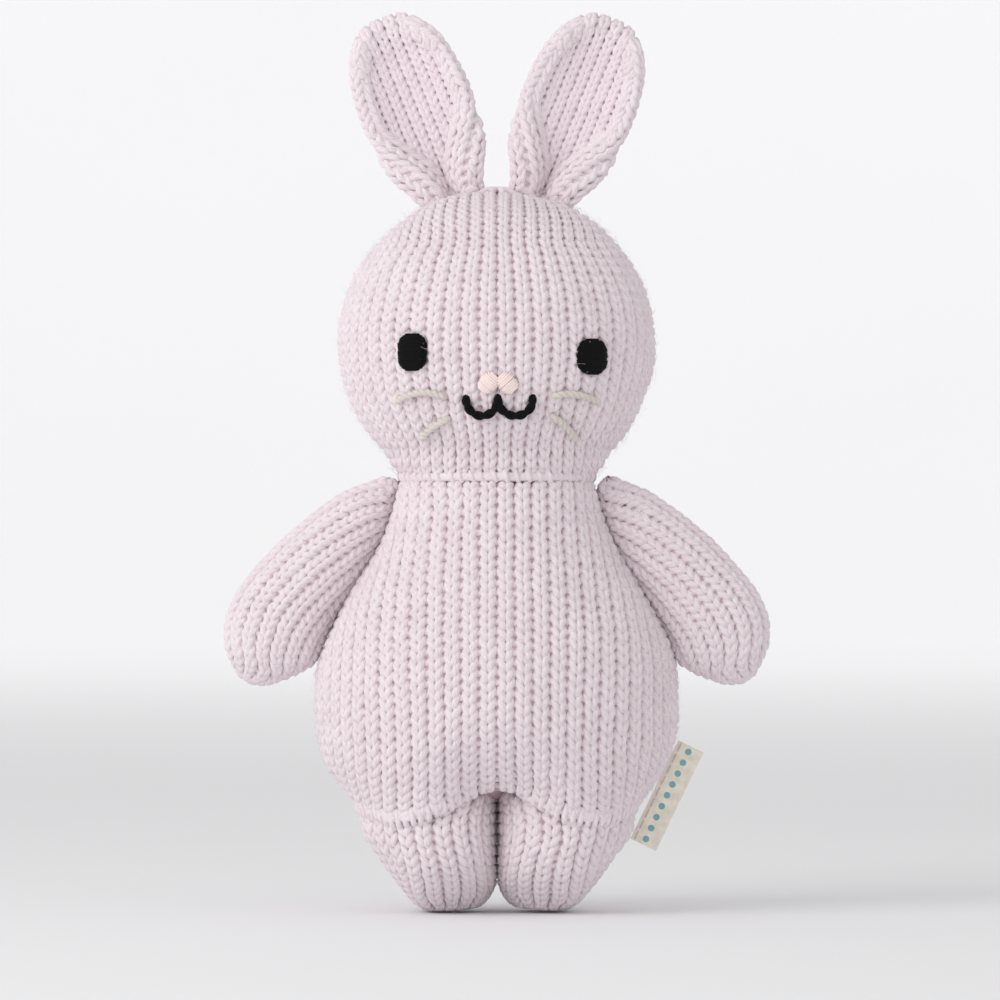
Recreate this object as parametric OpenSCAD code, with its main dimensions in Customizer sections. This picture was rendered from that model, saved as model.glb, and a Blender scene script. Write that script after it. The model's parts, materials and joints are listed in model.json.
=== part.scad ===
// Knitted stuffed rabbit: sewn knit covers over loose stuffing, stitched face and sewn-in label.
// +Z is up and the face looks along -Y. Left and right are the rabbit's own.
// The body stands on z = 0. Each arm, ear, leg and the label turns on its sewn line.

/* [Body] */
// Half of the belly's width
belly_half_w = 46.6; // [44:0.2:48]
// Thickness of the knitted fabric
knit_t = 2.5; // [2:0.1:2.8]
// Space between the fabric and the stuffing inside it
stuffing_gap = 0.4; // [0.3:0.1:0.6]
// Lowest point of the line where the body meets the legs
rim_low = 22.5; // [22:0.1:23.5]
// How far the crotch rises above that line
crotch_rise = 8.5; // [6:0.5:9]

/* [Head] */
// Half of the head's width
head_half_w = 40.5; // [38:0.5:40.5]
// Half of the head's depth
head_half_d = 34.5; // [32:0.5:35]
// Height of the head's widest level
head_z = 145.3; // [145:0.1:146]
// Height of the crown above the widest level
crown_h = 38.8; // [36:0.2:38.8]
// Depth of the rounded underside below the widest level
chin_h = 41.2; // [40:0.1:41.2]

/* [Neck] */
// Radius of the gathered ring around the neck
neck_r = 24.4; // [24:0.1:25]
// Radius of the gathering yarn
neck_yarn_r = 1.2; // [0.8:0.1:1.3]
// Height of the gathered ring
neck_z = 110.7; // [110.5:0.1:111]

/* [Ears] */
// Outward lean of each ear
ear_lean = 22; // [18:0.2:26]
// Length of an ear from its sewn base
ear_len = 47; // [40:0.2:48]
// Half of the widest part of an ear
ear_half_w = 14.8; // [12:0.2:15]
// How far the ear's edges curl forward
ear_cup = 4.5; // [3:0.5:6]

/* [Arms] */
// Lean of the seam along which an arm is sewn
arm_lean = 28.8; // [28.4:0.2:30]
// Length of an arm along that seam's line
arm_len = 66; // [58:1:68]
// Distance from the seam to an arm's outer edge
arm_reach = 25.2; // [22:0.2:27]
// Half of an arm's thickness from front to back
arm_half_d = 9.5; // [8:0.5:10]

/* [Legs] */
// Distance from the middle to a leg's centre at the hip
hip_x = 17.1; // [17:0.1:17.4]
// Height of the hip's turning axis
hip_z = 22; // [21.5:0.1:22]
// Half of a leg's width at the hip
leg_half_w = 16; // [15:0.1:16]
// Half of a leg's depth at the hip
leg_half_d = 22; // [20:0.5:22]

/* [Label] */
// Length of the folded label along its sewn edge
label_len = 28; // [22:1:30]
// How far the label stands out of the seam
label_w = 7.6; // [6:0.2:9]
// Thickness of one layer of label tape
label_t = 0.45; // [0.3:0.05:0.5]

/* [Hidden] */

lilac = [0.86, 0.80, 0.83];
lining_lilac = [0.84, 0.76, 0.80];
white_fill = [0.95, 0.95, 0.93];
black_yarn = [0.06, 0.06, 0.07];
pink_yarn = [0.94, 0.80, 0.78];
grey_yarn = [0.78, 0.74, 0.70];
tape_beige = [0.78, 0.74, 0.68];

// Sewing yarn, and how far what is sewn on stands off the fabric
seam_yarn_r = 0.8;
surface_gap = 0.15;
back_seam_top = 104;
back_seam_end = 71.5;

// Number of points around each kind of lofted shape
body_sides = 30;
limb_sides = 20;
yarn_sides = 8;

// Body outline: height and share of the belly's half width
body_profile = [[22, 0.750], [31, 0.871], [40, 0.968], [54, 1], [67, 0.970],
                [80, 0.828], [90, 0.692], [100, 0.592], [110, 0.534]];
// Depth of the body as a share of its width, by height
body_ratio = [[22, 0.80], [60, 0.79], [85, 0.84], [110, 0.96]];
body_levels = [45, 52, 60, 68, 76, 84, 92, 98, 102];
body_top_z = 109.2;
skirt_top_z = 38;
hollow_floor_z = 26.5;
under_t = 1.3 * knit_t;
under_stuffing_gap = 2.4;
stuffing_top_z = 102.3;
crotch_half_w = 8;

// Hollow in the body's underside that leaves each leg room to swing
socket_half_w = leg_half_w + 1.2;
socket_half_d = leg_half_d + 4;
socket_h = leg_half_d + 1.5;
under_steps = [0.18, 0.34, 0.5, 0.64, 0.76, 0.86, 0.93];

// Angles of the rings of the head, and of the round top of a leg
head_angles = [-78, -67, -56, -45, -33, -20, -7, 6, 19, 32, 45, 58, 70, 81];
dome_angles = [0, 15, 30, 45, 58, 70];

// The dish on top of the body in which the head turns
dish_r = chin_h + 0.5;
dish_inner_x = 12;
dish_outer_x = 20.9;

// Leg below the hip: height, centre from the middle, half width and half depth
leg_levels = [[0, 11.6, 6.4, 9], [1.6, 11.8, 9, 13], [5.4, 12.6, 11.2, 17], [9.4, 14.1, 12.8, 19.4],
              [13.3, 15.5, 14.3, 20.8], [17.4, 16.6, 15.4, 21.7]];

// Arm: distance down the seam, inner edge, outer edge as a share of the reach, and half thickness share
arm_inner = [[0, 4.6], [6, 2.9], [36, 2.7], [42, 1.4], [50, 1.2], [58, 2.2], [63, 5.5], [66, 9.5]];
arm_outer = [[0, 0.3], [8, 0.49], [14.4, 0.62], [20, 0.72], [31, 0.88], [41, 0.97], [50, 1], [57.4, 0.9],
             [63.4, 0.68], [66, 0.5]];
arm_thick = [[0, 0.3], [8, 0.6], [20, 0.86], [38, 1], [50, 0.97], [59, 0.76], [66, 0.26]];
arm_steps = [0.03, 0.1, 0.19, 0.3, 0.44, 0.58, 0.7, 0.8, 0.88, 0.94, 0.985];
arm_outline_len = 66;
shoulder = [22.4, 0, 110];
arm_seam_from = 8;
arm_seam_to = 36;
arm_seam_x = 1.5;

// Mouth: middle and half width of each hanging arc, their top and their drop
mouth_arcs = [[-3.7, 4], [4.6, 4.4]];
mouth_z = 130.8;
mouth_drop = 4.4;
cord_gap = 0.2;

// Ear: place of the sewn base, and half width by share of length
ear_base = [12.2, 4, 184.8];
ear_profile = [[0, 0.68], [0.07, 0.8], [0.19, 0.93], [0.37, 1], [0.55, 1], [0.73, 0.93], [0.85, 0.79],
               [0.91, 0.66], [0.967, 0.44], [1, 0.12]];
ear_steps = [0.06, 0.12, 0.22, 0.35, 0.5, 0.63, 0.75, 0.84, 0.91, 0.955, 0.985, 0.998];
ear_t = 2.3;
ear_rim_roll = 2;
ear_half_sides = 10;

// Label: top of its sewn edge and the lean of that edge
label_top = [46.2, 8, 43.6];
label_lean = 26;

// ---- shared functions ----

function slope(p, i) =
    let (a = max(0, i - 1), b = min(len(p) - 1, i + 1))
    (p[b][1] - p[a][1]) / (p[b][0] - p[a][0]);

function span(p, x, i = 0) = i >= len(p) - 2 || x <= p[i + 1][0] ? i : span(p, x, i + 1);

// Smooth curve through the points p = [[x, value], ...]
function curve(p, x) =
    let (i = span(p, x), h = p[i + 1][0] - p[i][0], t = min(1, max(0, (x - p[i][0]) / h)))
    p[i][1] * (2 * t * t * t - 3 * t * t + 1) + p[i + 1][1] * (3 * t * t - 2 * t * t * t)
    + h * slope(p, i) * (t * t * t - 2 * t * t + t) + h * slope(p, i + 1) * (t * t * t - t * t);

function unit(v) = v / norm(v);

function oval(n, cx, z, rx, ry) =
    [for (i = [0:n - 1]) [cx + rx * cos(360 * i / n), ry * sin(360 * i / n), z]];

function down_from(steps) = [for (i = [len(steps) - 1:-1:0]) steps[i]];

// Closed solid through rings of points that turn anticlockwise as they climb. Each end
// closes on a point, or flat on the ring itself where no point is given.
module skin(rings, start = undef, end = undef) {
    n = len(rings[0]);
    m = len(rings);
    ends = concat(is_undef(start) ? [] : [start], is_undef(end) ? [] : [end]);
    points = concat([for (r = rings) each r], ends);
    a = n * m;
    b = is_undef(start) ? a : a + 1;
    top = n * (m - 1);
    sides = [for (i = [0:m - 2]) for (j = [0:n - 1])
             let (k = (j + 1) % n, p = i * n, q = p + n)
             each [[p + j, q + j, q + k], [p + j, q + k, p + k]]];
    foot = is_undef(start) ? [[for (j = [0:n - 1]) j]] : [for (j = [0:n - 1]) [a, j, (j + 1) % n]];
    head = is_undef(end) ? [[for (j = [n - 1:-1:0]) top + j]]
                         : [for (j = [0:n - 1]) [b, top + (j + 1) % n, top + j]];
    polyhedron(points, concat(sides, foot, head), convexity = 8);
}

// Round yarn laid along a path. The side vector keeps the rings from twisting.
module yarn(path, r, side) {
    last = len(path) - 1;
    rings = [for (i = [0:last])
             let (t = unit(path[min(last, i + 1)] - path[max(0, i - 1)]), u = unit(cross(side, t)),
                  v = cross(t, u),
                  k = i == 0 || i == last ? 0.55 * r : r)
             [for (j = [0:yarn_sides - 1])
              path[i] + k * (cos(360 * j / yarn_sides) * u + sin(360 * j / yarn_sides) * v)]];
    skin(rings);
}

module both(side) {
    if (side > 0) children();
    else mirror([1, 0, 0]) children();
}

// ---- body ----

function body_w(z) = belly_half_w * curve(body_profile, z);
function body_d(z) = body_w(z) * curve(body_ratio, z);
function rim_z(x) = rim_low + crotch_rise * exp(-pow(x / crotch_half_w, 2));

// Lower edge of a surface that stays a distance above the underside. Inside, it clears the thin lip.
function foot_z(x, above) = above == 0 ? rim_z(x) : max(hollow_floor_z, rim_z(x)) + above;
function socket_z(x, y, above) =
    let (u = (abs(x) - hip_x) / (socket_half_w + above), v = y / (socket_half_d + above))
    hip_z + (socket_h + above) * sqrt(max(0, 1 - u * u - v * v));
function under_z(x, y, above) = max(foot_z(x, above), socket_z(x, y, above));

function body_ring(z, inset) = oval(body_sides, 0, z, body_w(z) - inset, body_d(z) - inset);

// A ring between the skirt's top, share 0, and the lower rim, share 1
function skirt_ring(share, inset, above) =
    [for (i = [0:body_sides - 1])
     let (a = 360 * i / body_sides, foot = foot_z(body_w(rim_low) * cos(a), above),
          z = skirt_top_z + share * (foot - skirt_top_z))
     [(body_w(z) - inset) * cos(a), (body_d(z) - inset) * sin(a), z]];

// A ring of the underside at a share of the way out to the rim
function under_ring(share, inset, above) =
    [for (p = skirt_ring(1, inset, above))
     let (x = p[0] * share, y = p[1] * share)
     [x, y, under_z(x, y, above)]];

function body_rings(inset, above) =
    concat([for (s = under_steps) under_ring(s, inset, above)],
           [for (s = [1, 0.66, 0.33, 0]) skirt_ring(s, inset, above)],
           [for (z = body_levels) body_ring(z, inset)]);

function dish_ring(x, r) = oval(body_sides, 0, head_z - sqrt(r * r - x * x), x, x);

module body_cover() {
    outer = concat(body_rings(0, 0), [body_ring(106, 0), body_ring(body_top_z, 0)],
                   [for (x = [dish_outer_x, 17, dish_inner_x]) dish_ring(x, dish_r)]);
    inner = concat([dish_ring(dish_inner_x, dish_r + knit_t), dish_ring(18, dish_r + knit_t)],
                   down_from(body_rings(knit_t, under_t)));
    color(lilac) skin(concat(outer, inner), [0, 0, under_z(0, 0, 0)], [0, 0, under_z(0, 0, under_t)]);
}

module body_stuffing() {
    above = under_t + under_stuffing_gap;
    foot = [0, 0, under_z(0, 0, above)];
    color(white_fill) skin(body_rings(knit_t + stuffing_gap, above), foot, [0, 0, stuffing_top_z]);
}

// Closing seam down the upper back, where the stuffing went in
module back_seam_yarn() {
    r = seam_yarn_r;
    path = [for (z = [back_seam_top:-2.5:back_seam_end]) [1.2 * sin(z * 60), body_d(z) + r + surface_gap, z]];
    color(lilac) yarn(path, r, [1, 0, 0]);
}

// Yarn drawn along the puckered line where a leg joins the body at the front
module hip_join_yarn(side) {
    r = seam_yarn_r;
    path = [for (x = [4:2:28]) let (z = rim_z(x) + r, w = body_w(z), d = body_d(z))
            [x, -d * sqrt(1 - pow(x / w, 2)) - r - 0.4, z]];
    color(lilac) both(side) yarn(path, r, [0, 1, 0]);
}

module hip_join_yarn_left() { hip_join_yarn(1); }
module hip_join_yarn_right() { hip_join_yarn(-1); }

// ---- label ----

module at_label() {
    translate(label_top) rotate([0, label_lean, 0]) children();
}

// The thread that holds the label, along its sewn edge
module label_thread() {
    color(tape_beige) at_label() translate([0.1, 0, -label_len]) cylinder(h = label_len, r = 0.35, $fn = 24);
}

// One tape folded on its outer edge, its two ends sewn into the seam
module label_tape() {
    from = 0.8;
    fold_r = label_t * 1.6;
    color(tape_beige) at_label() translate([0, 0, -label_len]) linear_extrude(label_len) difference() {
        hull() {
            translate([from, -fold_r]) square([0.1, 2 * fold_r]);
            translate([label_w - fold_r, 0]) circle(r = fold_r, $fn = 32);
        }
        hull() {
            translate([from - 0.1, label_t - fold_r]) square([0.1, 2 * (fold_r - label_t)]);
            translate([label_w - fold_r, 0]) circle(r = fold_r - label_t, $fn = 32);
        }
    }
}

// ---- neck and head ----

module neck_gather_yarn() {
    color(lilac) translate([0, 0, neck_z]) rotate_extrude($fn = 96)
        translate([neck_r, 0]) circle(r = neck_yarn_r, $fn = 24);
}

function head_ring(angle, inset) =
    let (h = angle < 0 ? chin_h : crown_h)
    oval(body_sides, 0, head_z + (h - inset) * sin(angle),
         (head_half_w - inset) * cos(angle), (head_half_d - inset) * cos(angle));

module head_cover() {
    inner = [for (a = down_from(head_angles)) head_ring(a, knit_t)];
    outer = [for (a = head_angles) head_ring(a, 0)];
    color(lilac) skin(concat(inner, outer), [0, 0, head_z + crown_h - knit_t], [0, 0, head_z + crown_h]);
}

module head_stuffing() {
    inset = knit_t + stuffing_gap;
    color(white_fill) skin([for (a = head_angles) head_ring(a, inset)],
                           [0, 0, head_z - chin_h + inset], [0, 0, head_z + crown_h - inset]);
}

// Drawstring that closes the fabric at the crown
module crown_gather_yarn() {
    r = 0.7;
    color(lilac) translate([0, 0, head_z + crown_h + r + 0.05]) rotate_extrude($fn = 48)
        translate([2.6, 0]) circle(r = r, $fn = 20);
}

// Point over the face at x and z, lifted by a height above the fabric
function face(x, z, lift) =
    let (h = z < head_z ? chin_h : crown_h, k = (z - head_z) / h,
         y = -head_half_d * sqrt(1 - pow(x / head_half_w, 2) - k * k),
         n = unit([x / pow(head_half_w, 2), y / pow(head_half_d, 2), k / h]))
    [x, y, z] + lift * n;

// A domed patch of satin stitches: centre, half sizes, squareness of the outline, height and turn
module patch(cx, cz, half_w, half_h, power, high, turn = 0) {
    n = 20;
    gap = surface_gap;
    edge = [for (i = [0:n - 1])
            let (a = -360 * i / n, c = cos(a), s = sin(a), x = half_w * sign(c) * pow(abs(c), 2 / power),
                 z = half_h * sign(s) * pow(abs(s), 2 / power))
            [x * cos(turn) - z * sin(turn), x * sin(turn) + z * cos(turn)]];
    layers = [[0.6, gap], [1, gap], [1.02, gap + 0.45 * high], [0.85, gap + 0.85 * high], [0.5, gap + high]];
    skin([for (l = layers) [for (e = down_from(edge)) face(cx + l[0] * e[0], cz + l[0] * e[1], l[1])]],
         face(cx, cz, gap), face(cx, cz, gap + high));
}

module eye_left() { color(black_yarn) patch(23.6, 141.1, 3.9, 4.5, 3, 1.3); }
module eye_right() { color(black_yarn) patch(-20.9, 142.2, 3.8, 4.7, 3, 1.3); }

// Two satin-stitched lobes that meet low on the middle line
module nose_stitches() {
    color(pink_yarn) {
        patch(3.05, 134.5, 2.6, 1.9, 2.6, 1.1, 28);
        patch(-2.55, 134.5, 2.6, 1.9, 2.6, 1.1, -28);
    }
}

// Two hanging arcs of black yarn under the nose
module mouth_stitches() {
    r = 0.95;
    arcs = [for (a = mouth_arcs) for (t = [8:16.4:172])
            face(a[0] - a[1] * cos(t), mouth_z - mouth_drop * sin(t), r + cord_gap)];
    color(black_yarn) yarn(arcs, r, [0, 1, 0]);
}

// One whisker between two points on the face, arched upwards at its middle
module whisker(x0, z0, x1, z1, arch) {
    r = 0.8;
    steps = 8;
    path = [for (i = [0:steps]) let (t = i / steps)
            face(x0 + t * (x1 - x0), z0 + t * (z1 - z0) + arch * 4 * t * (1 - t), r + cord_gap)];
    color(grey_yarn) yarn(path, r, [0, 1, 0]);
}

module whisker_left_upper() { whisker(14, 131.2, 25.6, 129.6, 1.2); }
module whisker_left_lower() { whisker(13.6, 126.2, 20, 120.2, 0.8); }
module whisker_right_upper() { whisker(-25.2, 129.8, -12.8, 130.8, 1.8); }
module whisker_right_lower() { whisker(-19, 120.6, -12.2, 125.4, 0.8); }

// ---- ears ----

module at_ear(side) {
    both(side) translate(ear_base) rotate([0, ear_lean, 0]) children();
}

// Cupped sheet: share of the ear's width, depth of its mid surface, thickness and rolled rim
function leaf_ring(share, wide, mid_y, thick, roll) =
    let (w = wide * ear_half_w * curve(ear_profile, share), cup = ear_cup * min(1, share * 3),
         n = ear_half_sides,
         row = [for (i = [0:n]) let (u = 2 * i / n - 1, v = u * wide) [u * w, mid_y - cup * v * v, u]],
         half = [for (p = row) 0.5 * thick * sqrt(1 - pow(p[2], 4))],
         rim = [for (p = row) roll * pow(abs(p[2]), 3) * sqrt(1 - pow(p[2], 6))])
    concat([for (i = [0:n]) [row[i][0], row[i][1] - half[i] - rim[i], share * ear_len]],
           [for (i = [n - 1:-1:1]) [row[i][0], row[i][1] + half[i], share * ear_len]]);

module leaf(wide, mid_y, thick, roll, steps) {
    rings = [for (s = steps) leaf_ring(s, wide, mid_y, thick, roll)];
    skin(rings);
}

module ear_outer(side) {
    color(lilac) at_ear(side) leaf(1, 0.6, ear_t, ear_rim_roll, ear_steps);
}

module ear_lining(side) {
    steps = [for (s = ear_steps) if (s > 0.07 && s < 0.9) s];
    color(lining_lilac) at_ear(side) leaf(0.7, -1.55, 1.4, 0, steps);
}

// Yarn wrapped through the gathered base, on the line where the ear bends
module ear_seam_yarn(side) {
    half_len = 6.5;
    r = 1.9;
    color(lilac) at_ear(side) rotate([0, 90, 0]) {
        cylinder(h = 2 * half_len, r = r, center = true, $fn = 32);
        for (z = [-half_len, half_len]) translate([0, 0, z]) sphere(r = r, $fn = 32);
    }
}

module ear_left_outer() { ear_outer(1); }
module ear_left_lining() { ear_lining(1); }
module ear_left_seam_yarn() { ear_seam_yarn(1); }
module ear_right_outer() { ear_outer(-1); }
module ear_right_lining() { ear_lining(-1); }
module ear_right_seam_yarn() { ear_seam_yarn(-1); }

// ---- arms ----

module at_arm(side) {
    both(side) translate(shoulder) rotate([0, -arm_lean, 0]) children();
}

function arm_ring(share, inset) =
    let (s = share * arm_outline_len, near = curve(arm_inner, s) + inset,
         far = arm_reach * curve(arm_outer, s) - inset)
    oval(limb_sides, (near + far) / 2, -share * arm_len, max(0.6, (far - near) / 2),
         max(0.6, arm_half_d * curve(arm_thick, s) - inset));

function arm_rings(inset, steps) = [for (i = [len(steps) - 1:-1:0]) arm_ring(steps[i], inset)];

function arm_tip(inset) = [12.2, 0, inset - arm_len];

// The open end of the cover lies at the shoulder, under the seam
module arm_cover(side) {
    inner_steps = [for (s = arm_steps) if (s > 0.17 && s < 0.95) s];
    outer = arm_rings(0, arm_steps);
    inner = down_from(arm_rings(knit_t, inner_steps));
    color(lilac) at_arm(side) skin(concat(outer, inner), arm_tip(0), arm_tip(knit_t + 0.2));
}

module arm_stuffing(side) {
    inset = knit_t + stuffing_gap;
    steps = [for (s = arm_steps) if (s > 0.25 && s < 0.9) s];
    color(white_fill) at_arm(side)
        skin(arm_rings(inset, steps), arm_tip(inset + 3), arm_ring(0.2, inset)[0] - [3, 0, 0]);
}

// Overcast stitches along the line on which the arm turns
module arm_seam_yarn(side) {
    color(lilac) at_arm(side) translate([arm_seam_x, 0, -arm_seam_to])
        cylinder(h = arm_seam_to - arm_seam_from, r = seam_yarn_r, $fn = 24);
}

module arm_left_cover() { arm_cover(1); }
module arm_left_stuffing() { arm_stuffing(1); }
module arm_left_seam_yarn() { arm_seam_yarn(1); }
module arm_right_cover() { arm_cover(-1); }
module arm_right_stuffing() { arm_stuffing(-1); }
module arm_right_seam_yarn() { arm_seam_yarn(-1); }

// ---- legs ----

// The leg's top is round about the hip axis, so it can swing in the hollow above it
function leg_rings(inset, from = 0) =
    concat([for (l = leg_levels) if (l[0] >= from) oval(limb_sides, l[1], l[0], l[2] - inset, l[3] - inset)],
           [for (a = dome_angles) oval(limb_sides, hip_x, hip_z + (leg_half_d - inset) * sin(a),
                                       (leg_half_w - inset) * cos(a), (leg_half_d - inset) * cos(a))]);

module leg_cover(side) {
    outer = leg_rings(0);
    inner = down_from(leg_rings(knit_t, 5));
    color(lilac) both(side) skin(concat(outer, inner), undef, [12, 0, knit_t]);
}

module leg_stuffing(side) {
    inset = knit_t + stuffing_gap;
    crown = [hip_x, 0, hip_z + leg_half_d - inset];
    color(white_fill) both(side) skin(leg_rings(inset, 5), [12, 0, inset + 0.6], crown);
}

module leg_left_cover() { leg_cover(1); }
module leg_left_stuffing() { leg_stuffing(1); }
module leg_right_cover() { leg_cover(-1); }
module leg_right_stuffing() { leg_stuffing(-1); }

body_cover();
body_stuffing();
back_seam_yarn();
hip_join_yarn_left();
hip_join_yarn_right();
label_thread();
label_tape();
neck_gather_yarn();
head_cover();
head_stuffing();
crown_gather_yarn();
eye_left();
eye_right();
nose_stitches();
mouth_stitches();
whisker_left_upper();
whisker_left_lower();
whisker_right_upper();
whisker_right_lower();
ear_left_outer();
ear_left_lining();
ear_left_seam_yarn();
ear_right_outer();
ear_right_lining();
ear_right_seam_yarn();
arm_left_cover();
arm_left_stuffing();
arm_left_seam_yarn();
arm_right_cover();
arm_right_stuffing();
arm_right_seam_yarn();
leg_left_cover();
leg_left_stuffing();
leg_right_cover();
leg_right_stuffing();
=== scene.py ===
"""The looks of a hand-knitted rabbit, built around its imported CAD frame.

Every cover is knitted for real: each course is one tube of yarn that loops over the surface that the CAD
solid gives. Lengths are in millimetres until a mesh is written, and metres in Blender.
"""

import json
import math

import bpy
import numpy as np
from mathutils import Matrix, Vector
from mathutils.bvhtree import BVHTree


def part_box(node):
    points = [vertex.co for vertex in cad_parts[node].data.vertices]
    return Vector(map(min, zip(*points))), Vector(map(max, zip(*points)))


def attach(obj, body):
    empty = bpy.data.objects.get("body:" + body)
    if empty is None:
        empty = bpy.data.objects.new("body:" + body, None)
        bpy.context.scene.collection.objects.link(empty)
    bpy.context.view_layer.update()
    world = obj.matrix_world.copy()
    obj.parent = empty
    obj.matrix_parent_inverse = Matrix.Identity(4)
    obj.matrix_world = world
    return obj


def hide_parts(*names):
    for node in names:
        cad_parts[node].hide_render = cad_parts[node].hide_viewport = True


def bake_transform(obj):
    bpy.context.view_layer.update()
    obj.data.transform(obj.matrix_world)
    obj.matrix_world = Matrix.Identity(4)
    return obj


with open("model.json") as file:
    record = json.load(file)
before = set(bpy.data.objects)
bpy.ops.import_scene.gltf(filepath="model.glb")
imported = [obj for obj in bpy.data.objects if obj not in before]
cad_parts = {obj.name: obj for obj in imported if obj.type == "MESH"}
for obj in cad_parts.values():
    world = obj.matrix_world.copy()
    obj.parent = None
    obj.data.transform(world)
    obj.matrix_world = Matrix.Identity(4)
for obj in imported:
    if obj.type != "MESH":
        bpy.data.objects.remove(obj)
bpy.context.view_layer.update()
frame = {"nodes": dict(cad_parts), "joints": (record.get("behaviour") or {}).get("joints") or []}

MM = 0.001
TURN = 2 * math.pi
random = np.random.default_rng(7)

# ---------------------------------------------------------------- sizes, in millimetres

STITCH_SAMPLES = 14
YARN_SIDES = 8
YARN_R = 0.98  # knitting yarn
COURSE = 2.62  # one stitch up
YARN_DEPTH = 0.5  # how far a stitch weaves in and out of the fabric
INSET = 1.35  # from the CAD surface in to the middle of the fabric
FIBRE_R = 0.03
SHELL_IN = 0.2  # from there in to the fabric's inner face
LINING_WALE = 3.05
LINING_COURSE = 2.1
LINING_R = 0.76


# ---------------------------------------------------------------- the frame


def joint_place(name):
    """A joint's place, in millimetres, and its axis."""
    found = next(j for j in frame["joints"] if j["name"] == name)
    return np.array(found["pos_m"]) / MM, np.array(found["axis"], float)


def node_box(name):
    """A CAD node's lowest and highest corner, in millimetres."""
    low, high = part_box(name)
    return np.array(low) / MM, np.array(high) / MM


def node_points(name):
    """A CAD node's points, in millimetres."""
    return np.array([v.co for v in frame["nodes"][name].data.vertices], float) / MM


def node_tree(name):
    """A CAD node's surface for ray casting, in metres."""
    mesh = frame["nodes"][name].data
    return BVHTree.FromPolygons([v.co for v in mesh.vertices], [p.vertices for p in mesh.polygons])


# ---------------------------------------------------------------- small helpers


def ease(x, low, high):
    """0 below low, 1 above high, smooth between."""
    t = np.clip((x - low) / (high - low), 0, 1)
    return t * t * (3 - 2 * t)


def unit(v):
    return v / np.maximum(np.linalg.norm(v, axis=-1, keepdims=True), 1e-9)


def waves(points, size, seed):
    """Smooth noise from -1 to 1 at points, with lumps of about that size."""
    draw = np.random.default_rng(seed)
    total = np.zeros(points.shape[:-1])
    for _ in range(9):
        way = unit(draw.normal(size=3)) * TURN / (size * draw.uniform(0.7, 1.5))
        total += np.sin(points @ way + draw.uniform(0, TURN))
    return total / 4.2


def smooth_line(values, passes):
    """values with their neighbours' mean mixed in, ends kept."""
    out = np.array(values, float)
    for _ in range(passes):
        out[1:-1] = (out[:-2] + 2 * out[1:-1] + out[2:]) / 4
    return out


def spline(points, count):
    """count points on a smooth curve through points, evenly spaced."""
    p = np.array(points, float)
    ends = np.vstack([2 * p[0] - p[1], p, 2 * p[-1] - p[-2]])
    t = np.linspace(0, 1, 16, endpoint=False)[:, None]
    parts = []
    for i in range(len(p) - 1):
        a, b, c, d = ends[i : i + 4]
        parts.append(
            0.5 * (2 * b + (c - a) * t + (2 * a - 5 * b + 4 * c - d) * t**2 + (3 * b - a - 3 * c + d) * t**3)
        )
    fine = np.vstack(parts + [p[-1:]])
    run = np.r_[0, np.cumsum(np.linalg.norm(np.diff(fine, axis=0), axis=1))]
    even = np.linspace(0, run[-1], count)
    return np.stack([np.interp(even, run, fine[:, k]) for k in range(3)], axis=1)


# ---------------------------------------------------------------- meshes of yarn


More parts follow.
